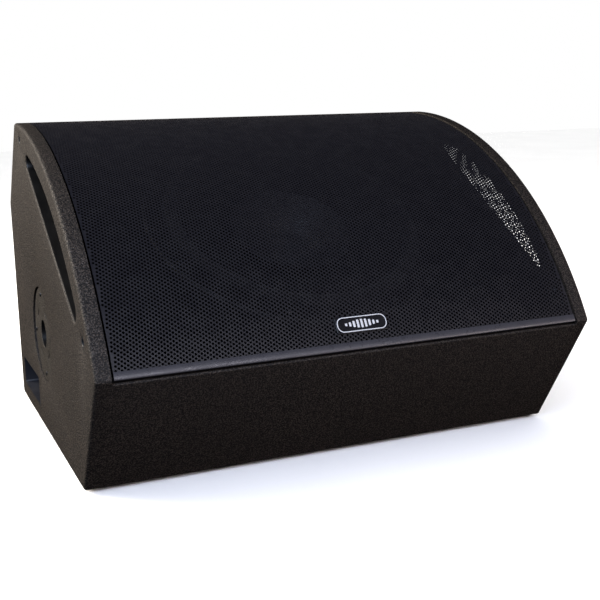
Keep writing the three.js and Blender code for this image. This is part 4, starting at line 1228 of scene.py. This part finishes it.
def driver_cone():
    steps = 56
    line = []
    for i in range(steps + 1):
        t = i / steps
        ribs = 0.45 * math.sin(2 * math.pi * 8 * t) if 0.35 < t < 0.9 else 0.0
        line.append((39.2 + 110.8 * t, -50.9 + 56 * t + 5 * math.sin(math.pi * t) + ribs))
    spun("cone", sheet(line, 1.1), 144, CONE_PAPER, "cone_paper", "cone_assembly")


def follow(made):
    """Bakes a ring's place into its mesh; the ring rides on no body."""
    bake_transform(made)


def surround():
    """Half roll with a flat lip glued to the cone inside and to the basket outside."""
    roll = [(160.0 - 9.4 * c, 6.9 + 8.2 * s) for c, s in arc((0.0, 0.0), 1.0, 0.0, math.pi, 24)]
    line = [(147.6, 5.6), (149.0, 6.0), *roll, (170.6, 6.7), (172.0, 6.6)]
    made = spun("surround", sheet(line, 0.9), 144, SURROUND, "surround_rubber", None)
    follow(made)


def spider():
    """Corrugated cloth, flat where it is glued at both edges."""
    line = []
    for r in np.linspace(39.3, 88.0, 98).tolist():
        fade = max(0.0, min(1.0, (r - 41.5) / 3.0, (78.0 - r) / 3.0))
        line.append((r, -54.9 + 1.5 * fade * math.sin(2 * math.pi * (r - 42.0) / 6.0)))
    made = spun("spider", sheet(line, 0.5), 96, SPIDER_CLOTH, "spider_cloth", None)
    follow(made)


def ridged(inner, outer, low, high, pitch):
    """The section of a coil: every side shows its turns as half-round ridges."""
    corners = [(inner, low), (outer, low), (outer, high), (inner, high)]
    section = []
    for a, b in zip(corners, corners[1:] + corners[:1]):
        way, length = unit(sub(b, a)), math.hypot(*sub(b, a))
        count = max(1, round(length / pitch))
        size = length / count
        out = (way[1], -way[0])
        for i in range(count):
            heart = add(add(a, way, size * (i + 0.5)), out, -size / 2)
            for k in (-2, -1, 0, 1, 2):
                turn = k * 0.62
                aim = add((out[0] * math.cos(turn), out[1] * math.cos(turn)), way, math.sin(turn))
                section.append(add(heart, aim, size / 2))
    return section


def motor():
    former = lathe([(37.4, -94), (37.75, -94), (37.75, -49.6), (37.4, -49.6)], 96)
    winding = lathe([(37.75, -93.6), (38.9, -93.6), (38.9, -78.4), (37.75, -78.4)], 96)
    coil = merged(former, winding)
    part("voice_coil", coil, ON_BAFFLE, [FORMER, COPPER], "copper_wire", "cone_assembly")
    spun("top_plate", chamfered(40.2, 85.0, -88.0, -78.0, 0.8), 96, MACHINED, "zinc_steel")
    spun("ring_magnet", chamfered(50.0, 92.0, -112.0, -88.3, 1.6), 96, FERRITE, "ferrite")
    yoke = [(12.7, -124), (84.2, -124), (85, -123.2), (85, -113.1), (84.2, -112.3)]
    yoke += [(37.2, -112.3), (36.2, -111.3), (36.2, -81.1), (35.4, -80.3), (17.0, -80.3)]
    spun("pole_piece", yoke, 96, MACHINED, "zinc_steel")
    inside = [(17.0 + 16.6 * (i / 8) ** 1.15, -80 + 34 * i / 8) for i in range(8)]
    inside += [(33.6 + 44.4 * (i / 24) ** 1.4, -46 + 40 * i / 24) for i in range(25)]
    rim = [(78.9, -5.2), (79.7, -5.4), (80.0, -6.1)]
    outside = [(r + 2.0, z) for r, z in inside[-2::-1]]
    spun("hf_horn", [*inside, *rim, *outside], 96, PLASTIC, "black_plastic")


def soft_trim():
    """The gasket, in four arcs that meet at narrow gaps, and the screws that hold the driver."""
    section = [(170.3, 6.6), (191.7, 6.6), (192, 7.0), (191.6, 10.2), (190.8, 10.6)]
    section += [(171.4, 10.6), (170.6, 10.2)]
    arcs = [sector(section, QUARTER * k + 0.004, QUARTER - 0.008, 36) for k in range(4)]
    part("driver_gasket", merged(*arcs), ON_BAFFLE, GASKET, "gasket_fibre")
    screws("driver_screw", ON_BAFFLE, ring_of(*SCREW_RING, 10.6), lambda i: 0.7 * i, 4.6, 2.6)


def compression_driver():
    body = "hf_diaphragm_assembly"
    top = -124.3  # of the throat plate
    seat = top - 6.3  # top of the magnet and the phase plug
    spun("hf_throat_plate", chamfered(12.7, 45.0, top - 6, top, 0.6), 72, ZINC, "zinc_steel")
    spun("hf_magnet", chamfered(24.6, 45.0, seat - 15, seat, 1.0), 72, FERRITE, "ferrite")
    plug = [(4.0, 0.0), (9.0, 0.0), (9.4, 2.4), (10.6, 2.4), (11.0, 0.0), (15.5, 0.0), (15.9, 2.4), (17.1, 2.4)]
    plug += [(17.5, 0.0), (20.5, 0.0), (21.0, 0.5), (21.0, 6.0), (12.6, 9.9), (4.0, 12.5)]
    spun("hf_phase_plug", [(r, seat - down) for r, down in plug], 72, PLASTIC, "black_plastic")
    rim = seat - 8
    reach, rise = 21.0, 6.5  # of the dome
    sphere = (reach**2 + rise**2) / (2 * rise)
    sweep = math.asin(reach / sphere)
    turns = [sweep * i / 12 for i in range(13)]
    dome = [(sphere * math.sin(a), rim - sphere * (math.cos(a) - math.cos(sweep))) for a in turns]
    spun("hf_diaphragm", sheet(dome, 0.7), 72, TITANIUM, "titanium_foil", body)
    coil = [(22.1, rim + 0.3), (23.4, rim + 0.3), (23.4, rim + 7.3), (22.1, rim + 7.3)]
    spun("hf_voice_coil", coil, 72, COPPER, "copper_wire", body)
    front = seat - 15.3
    tooth = ((-0.07, 42.6), (-0.05, 45.0), (0.05, 45.0), (0.07, 42.6))
    gear = []
    for i in range(30):
        gear += [add((0.0, 0.0), heading(2 * math.pi * i / 30 + lean), radius) for lean, radius in tooth]
    well = (circle(40.5, 60), [(0.0, front), (0.0, front - 23.0)], True)
    cover = plate(gear, [(0.0, front), (0.0, front - 25), (1.0, front - 26)], [well])
    ring = lathe([(3.0, front - 26.0), (12.0, front - 26.0), (12.0, front - 25.5), (3.0, front - 25.5)], 36)
    part("hf_rear_cover", merged(cover, ring), ON_BAFFLE, CAST, "cast_aluminium")


def terminals():
    base = plate(rounded(rectangle(10, 30), 1.2, 3), round_over(5.0, -6.0, 0.5, 2, 0.4))
    tab = plate(rounded(rectangle(5.0, 0.8), 0.2, 1), [(0.15, 6.0), (0.0, 5.7), (0.0, 4.0)])
    tabs = [moved(tab, Matrix.Translation((0, y, 0))) for y in (-8.0, 8.0)]
    part("terminal_strip", merged(base, *tabs), at(ON_BAFFLE, -101, 0, -70), [PLASTIC, ZINC], "black_plastic")


PORT = {"x": 240.0, "up": -180.0}  # on the baffle


def port_tubes():
    mouth = arc((42.5, -1.7), 5.0, QUARTER, math.pi, 8)
    section = [*mouth, (37.5, -108.7), (40.0, -108.7), (40.0, 0.0), (45.6, 0.0), (46.0, 0.4)]
    section += [(46.0, 2.3), (45.0, 3.3)]
    for side, word in SIDES:
        place = at(ON_BAFFLE, side * PORT["x"], PORT["up"], 0)
        part(f"port_tube_{word}", lathe(section, 96), place, MATT, "black_plastic")


driver_basket()
driver_cone()
surround()
spider()
motor()
soft_trim()
compression_driver()
terminals()
port_tubes()


# ---------- crossover, wadding and leads ----------

BOARD = {"x": -130.0, "y": 345.0, "width": 170.0, "depth": 105.0, "top": 27.0}


def bare_wire(points):
    return tube(smooth_path(points, 4), 0.5, 8)


def inductor(name, place, inner, outer, tall):
    """A coil held by three straps."""
    coil = lathe(ridged(inner, outer, 0.4, tall, 1.6), 72)
    strap = [(inner - 0.8, 0.2), (outer + 0.6, 0.2), (outer + 0.6, tall + 0.3), (inner - 0.8, tall + 0.3)]
    bore = [(inner - 0.1, 0.5), (outer + 0.1, 0.5), (outer + 0.1, tall), (inner - 0.1, tall)]
    sides = [(0, 1.3), (0, -1.3)]
    stood = turned(plate(strap, sides, [(bore, sides, False)]), QUARTER, "X")
    ties = [turned(stood, 2 * math.pi * k / 3 + 0.5) for k in range(3)]
    part(name, merged(coil, *ties), place, [COPPER, PLASTIC], "copper_wire")


def capacitor(name, place, radius, half, turn):
    """A can that lies on its side, with a wire bent down at each end."""
    end = [(0, half - 1.5), (radius - 2, half - 1.5), (radius - 0.4, half - 0.6), (radius, half - 1.8)]
    can = lathe([(r, -z) for r, z in end] + end[::-1], 56)
    wires = []
    for way in (-1, 1):
        reach = [(0, -2), (0, 2), (0, 3.4), (-1.2, 4.4), (-radius, 4.6)]
        wires.append(bare_wire([(x, 0, way * (half + past)) for x, past in reach]))
    whole = merged(can, *wires)
    lain = turned(turned(whole, QUARTER, "Y"), turn)
    part(name, (*lain, whole[2]), place, [FILM, ZINC], "capacitor_film")


def crossover():
    board = at(CABINET, BOARD["x"], BOARD["y"], BOARD["top"])
    on_board = at(board, 0, 0, GAP)
    slab = [(0.0, 0.0), (0.0, -2.0)]
    corners = [(a * 78.0, b * 44.5) for a in (-1, 1) for b in (-1, 1)]
    edge = rounded(rectangle(BOARD["width"], BOARD["depth"]), 2.0, 4)
    laminate = plate(edge, slab, [(circle(2.2, 16, spot), slab, False) for spot in corners])
    part("crossover_board", laminate, board, LAMINATE, "circuit_board")
    inductor("inductor_low_pass", at(on_board, -48, -18, 0), 14.4, 27, 24)
    inductor("inductor_high_pass", at(on_board, 5, -28, 0), 8.4, 17, 16)
    capacitor("capacitor_low_pass", at(on_board, -10, 33, 12.0), 12.0, 24.0, 0.0)
    capacitor("capacitor_high_pass", at(on_board, 42, -20, 9.0), 9.0, 17.0, QUARTER)
    block = plate(rounded(rectangle(46, 10), 1.3, 3), round_over(10.0, 0.0, 0.8, 3))
    reach = [(22, 0, 5), (25, 0, 5), (26.6, 0, 4), (26.8, 0, 0)]
    wires = [bare_wire([(way * x, y, z) for x, y, z in reach]) for way in (-1, 1)]
    part("ceramic_resistor", merged(block, *wires), at(on_board, 54, 30, 0), [CLAY, ZINC], "ceramic_block")
    bar = plate(rounded(rectangle(150, 10), 1.4, 3), round_over(-2.3, -11.7, 0.6, 2, 0.6))
    for name, dy in (("board_spacer_front", -44.5), ("board_spacer_rear", 44.5)):
        part(name, bar, at(board, 0, dy, 0), WOOD, "raw_wood")


def wadding():
    """A loose pad against the rear panel: lumpy, thin and ragged at its edges."""
    nx, nz, wide, tall, deep = 120, 44, 270.0, 90.0, 19.0  # cells, and half width, half height, depth
    verts, faces = [], []
    for side in (0, 1):
        for i in range(nx + 1):
            for k in range(nz + 1):
                u, v = 2 * i / nx - 1, 2 * k / nz - 1
                edge = max(0.0, 1 - abs(u) ** 14) ** 0.4 * max(0.0, 1 - abs(v) ** 8) ** 0.4
                spot = Vector((u * 9.0, v * 3.2, 0.0))
                lump = 0.8 + sum(k * noise.noise(spot * s) for k, s in ((0.2, 1.0), (0.08, 4.0), (0.04, 13.0)))
                ragged = 1 - 0.02 * (1 + noise.noise(Vector((u * 6, v * 6, 5.0))))
                depth = deep * max(0.06, edge * min(1.0, lump)) if side else 0.0
                verts.append((u * wide * ragged, -depth, v * tall * ragged))
    row = nz + 1
    block = (nx + 1) * row
    for i in range(nx):
        for k in range(nz):
            a, b, c, d = i * row + k, (i + 1) * row + k, (i + 1) * row + k + 1, i * row + k + 1
            faces += [(a, d, c, b), (block + a, block + b, block + c, block + d)]
    border = [*range(nz)] + [i * row + nz for i in range(nx)]
    border += [nx * row + k for k in range(nz, 0, -1)] + [i * row for i in range(nx, 0, -1)]
    for p, q in zip(border, border[1:] + border[:1]):
        faces.append((p, block + p, block + q, q))
    place = at(CABINET, 0, BOTTOM_DEPTH - PANEL - GAP, 175.0)
    made = part("damping_wadding", (verts, [f[::-1] for f in faces]), place, FIBRE, "wadding")


LEADS = {
    "lead_from_sockets": [
        (-246, 304, 42.5), (-236, 304, 42.5), (-226, 312, 41), (-216, 330, 36), (-208, 350, 31),
        (-196, 358, 30.5), (-186, 358, 30.5),
    ],
    "lead_to_woofer": [
        (-146.5, 308, 30.5), (-146.5, 294, 31), (-147, 276, 40), (-149, 252, 70), (-147, 220, 120),
        (-134, 185, 172), (-120, 168, 196), (-108, 160.5, 205.5),
    ],
    "lead_to_horn": [
        (-50, 318, 30.5), (-46, 300, 31), (-40, 282, 36), (-28, 262, 48), (-14, 242, 68), (-3, 227, 92),
        (0, 215, 112.5),
    ],
}


CORE = {"radius": 1.2, "from_middle": 1.22, "lay": 24.0}


def leads():
    """Twisted pairs, one core red and one black."""
    for name, route in LEADS.items():
        line = smooth_path(route, 14)
        cores = []
        for phase in (0.0, math.pi):
            travelled, path = 0.0, []
            for i, (p, side, other) in enumerate(frames(line)):
                travelled += (p - line[i - 1]).length if i else 0.0
                c, s = heading(phase + travelled * 2 * math.pi / CORE["lay"])
                path.append(p + CORE["from_middle"] * (c * side + s * other))
            cores.append(tube(path, CORE["radius"], 10))
        part(name, merged(*cores), CABINET, [RED_SLEEVE, BLACK_SLEEVE], "lead_sleeve")


crossover()
wadding()
leads()


# ---------- floor, light and camera ----------


LAMPS = [  # name, spot, aim, size, watts, tint
    ("upper_left", (-1.5, -1.7, 1.7), (0.0, 0.0, 0.2), (1.5, 1.1), 50.0, (0.64, 0.76, 1.0)),
    ("upper_front", (0.3, -2.1, 1.2), (0.0, 0.0, 0.2), (1.0, 0.35), 11.0, (0.9, 0.88, 1.0)),
    ("left_side", (-1.7, 0.9, 1.1), (0.0, 0.0, 0.2), (1.4, 1.4), 56.0, (1.0, 0.9, 0.78)),
    ("front", (-0.2, -2.8, 0.7), (0.0, 0.0, 0.2), (1.8, 0.8), 4.0, (1.0, 0.84, 0.8)),
    ("front_right", (1.5, -2.1, 0.55), (0.0, 0.0, 0.15), (0.8, 0.8), 13.0, (1.0, 0.86, 0.84)),
]
CAMERA = {"spot": (-0.5227, -1.2628, 0.4591), "turn": (-23.59, 12.19, -0.79), "lens": 61.476}
FLOOR_REACH = 6.0


def in_scene(name, data):
    made = bpy.data.objects.new(name, data)
    bpy.context.scene.collection.objects.link(made)
    return made


def lamp(name, kind, watts, **settings):
    data = bpy.data.lights.new(name, kind)
    data.energy = watts
    for key, value in settings.items():
        setattr(data, key, value)
    return in_scene(name, data)


def studio():
    scene = bpy.context.scene
    scene.view_settings.view_transform = "Standard"
    world = bpy.data.worlds.new("studio")
    scene.world = world
    world.use_nodes = True
    world.node_tree.nodes["Background"].inputs["Color"].default_value = (1.0, 1.0, 1.0, 1.0)
    # The world is the white backdrop; the lamps light the object
    world.cycles_visibility.diffuse = False
    world.cycles_visibility.glossy = False
    mesh = bpy.data.meshes.new("floor")
    mesh.from_pydata([(x, y, 0) for x, y in rectangle(2 * FLOOR_REACH, 2 * FLOOR_REACH)], [], [(0, 1, 2, 3)])
    f = Finish("floor_paint", Roughness=0.9, Specular_IOR_Level=0.0)
    f.set(Base_Color=f.mix(f.spread(f.noise(3.0), 0.3, 0.7), (0.9, 0.9, 0.9), (0.93, 0.93, 0.93)))
    mesh.materials.append(f.mat)
    floor = in_scene("floor", mesh)
    floor.visible_diffuse = False
    floor.visible_glossy = False
    for name, spot, aim, (wide, tall), watts, tint in LAMPS:
        made = lamp(name, "AREA", watts, shape="RECTANGLE", size=wide, size_y=tall, color=tint)
        made.location = spot
        made.rotation_mode = "QUATERNION"
        made.rotation_quaternion = (Vector(aim) - Vector(spot)).to_track_quat("-Z", "Y")
    # Even light that only the floor takes, out to its far edge
    only_floor = bpy.data.collections.new("only_floor")
    only_floor.objects.link(floor)
    sun = lamp("floor_sun", "SUN", 3.2, angle=math.radians(120))
    sun.light_linking.receiver_collection = only_floor


def camera():
    azimuth, elevation, roll = (math.radians(a) for a in CAMERA["turn"])
    flat = math.cos(elevation)
    back = Vector((math.sin(azimuth) * flat, -math.cos(azimuth) * flat, math.sin(elevation)))
    right = (-back).cross(Vector((0, 0, 1))).normalized()
    up = right.cross(-back)
    tilted_right = right * math.cos(roll) + up * math.sin(roll)
    tilted_up = up * math.cos(roll) - right * math.sin(roll)
    data = bpy.data.cameras.new("camera")
    data.sensor_width = 36.0
    data.lens = CAMERA["lens"]
    data.clip_start, data.clip_end = 0.05, 50.0
    made = in_scene("camera", data)
    turn = Matrix((tilted_right, tilted_up, back)).transposed().to_4x4()
    made.matrix_world = Matrix.Translation(CAMERA["spot"]) @ turn
    bpy.context.scene.camera = made


studio()
camera()
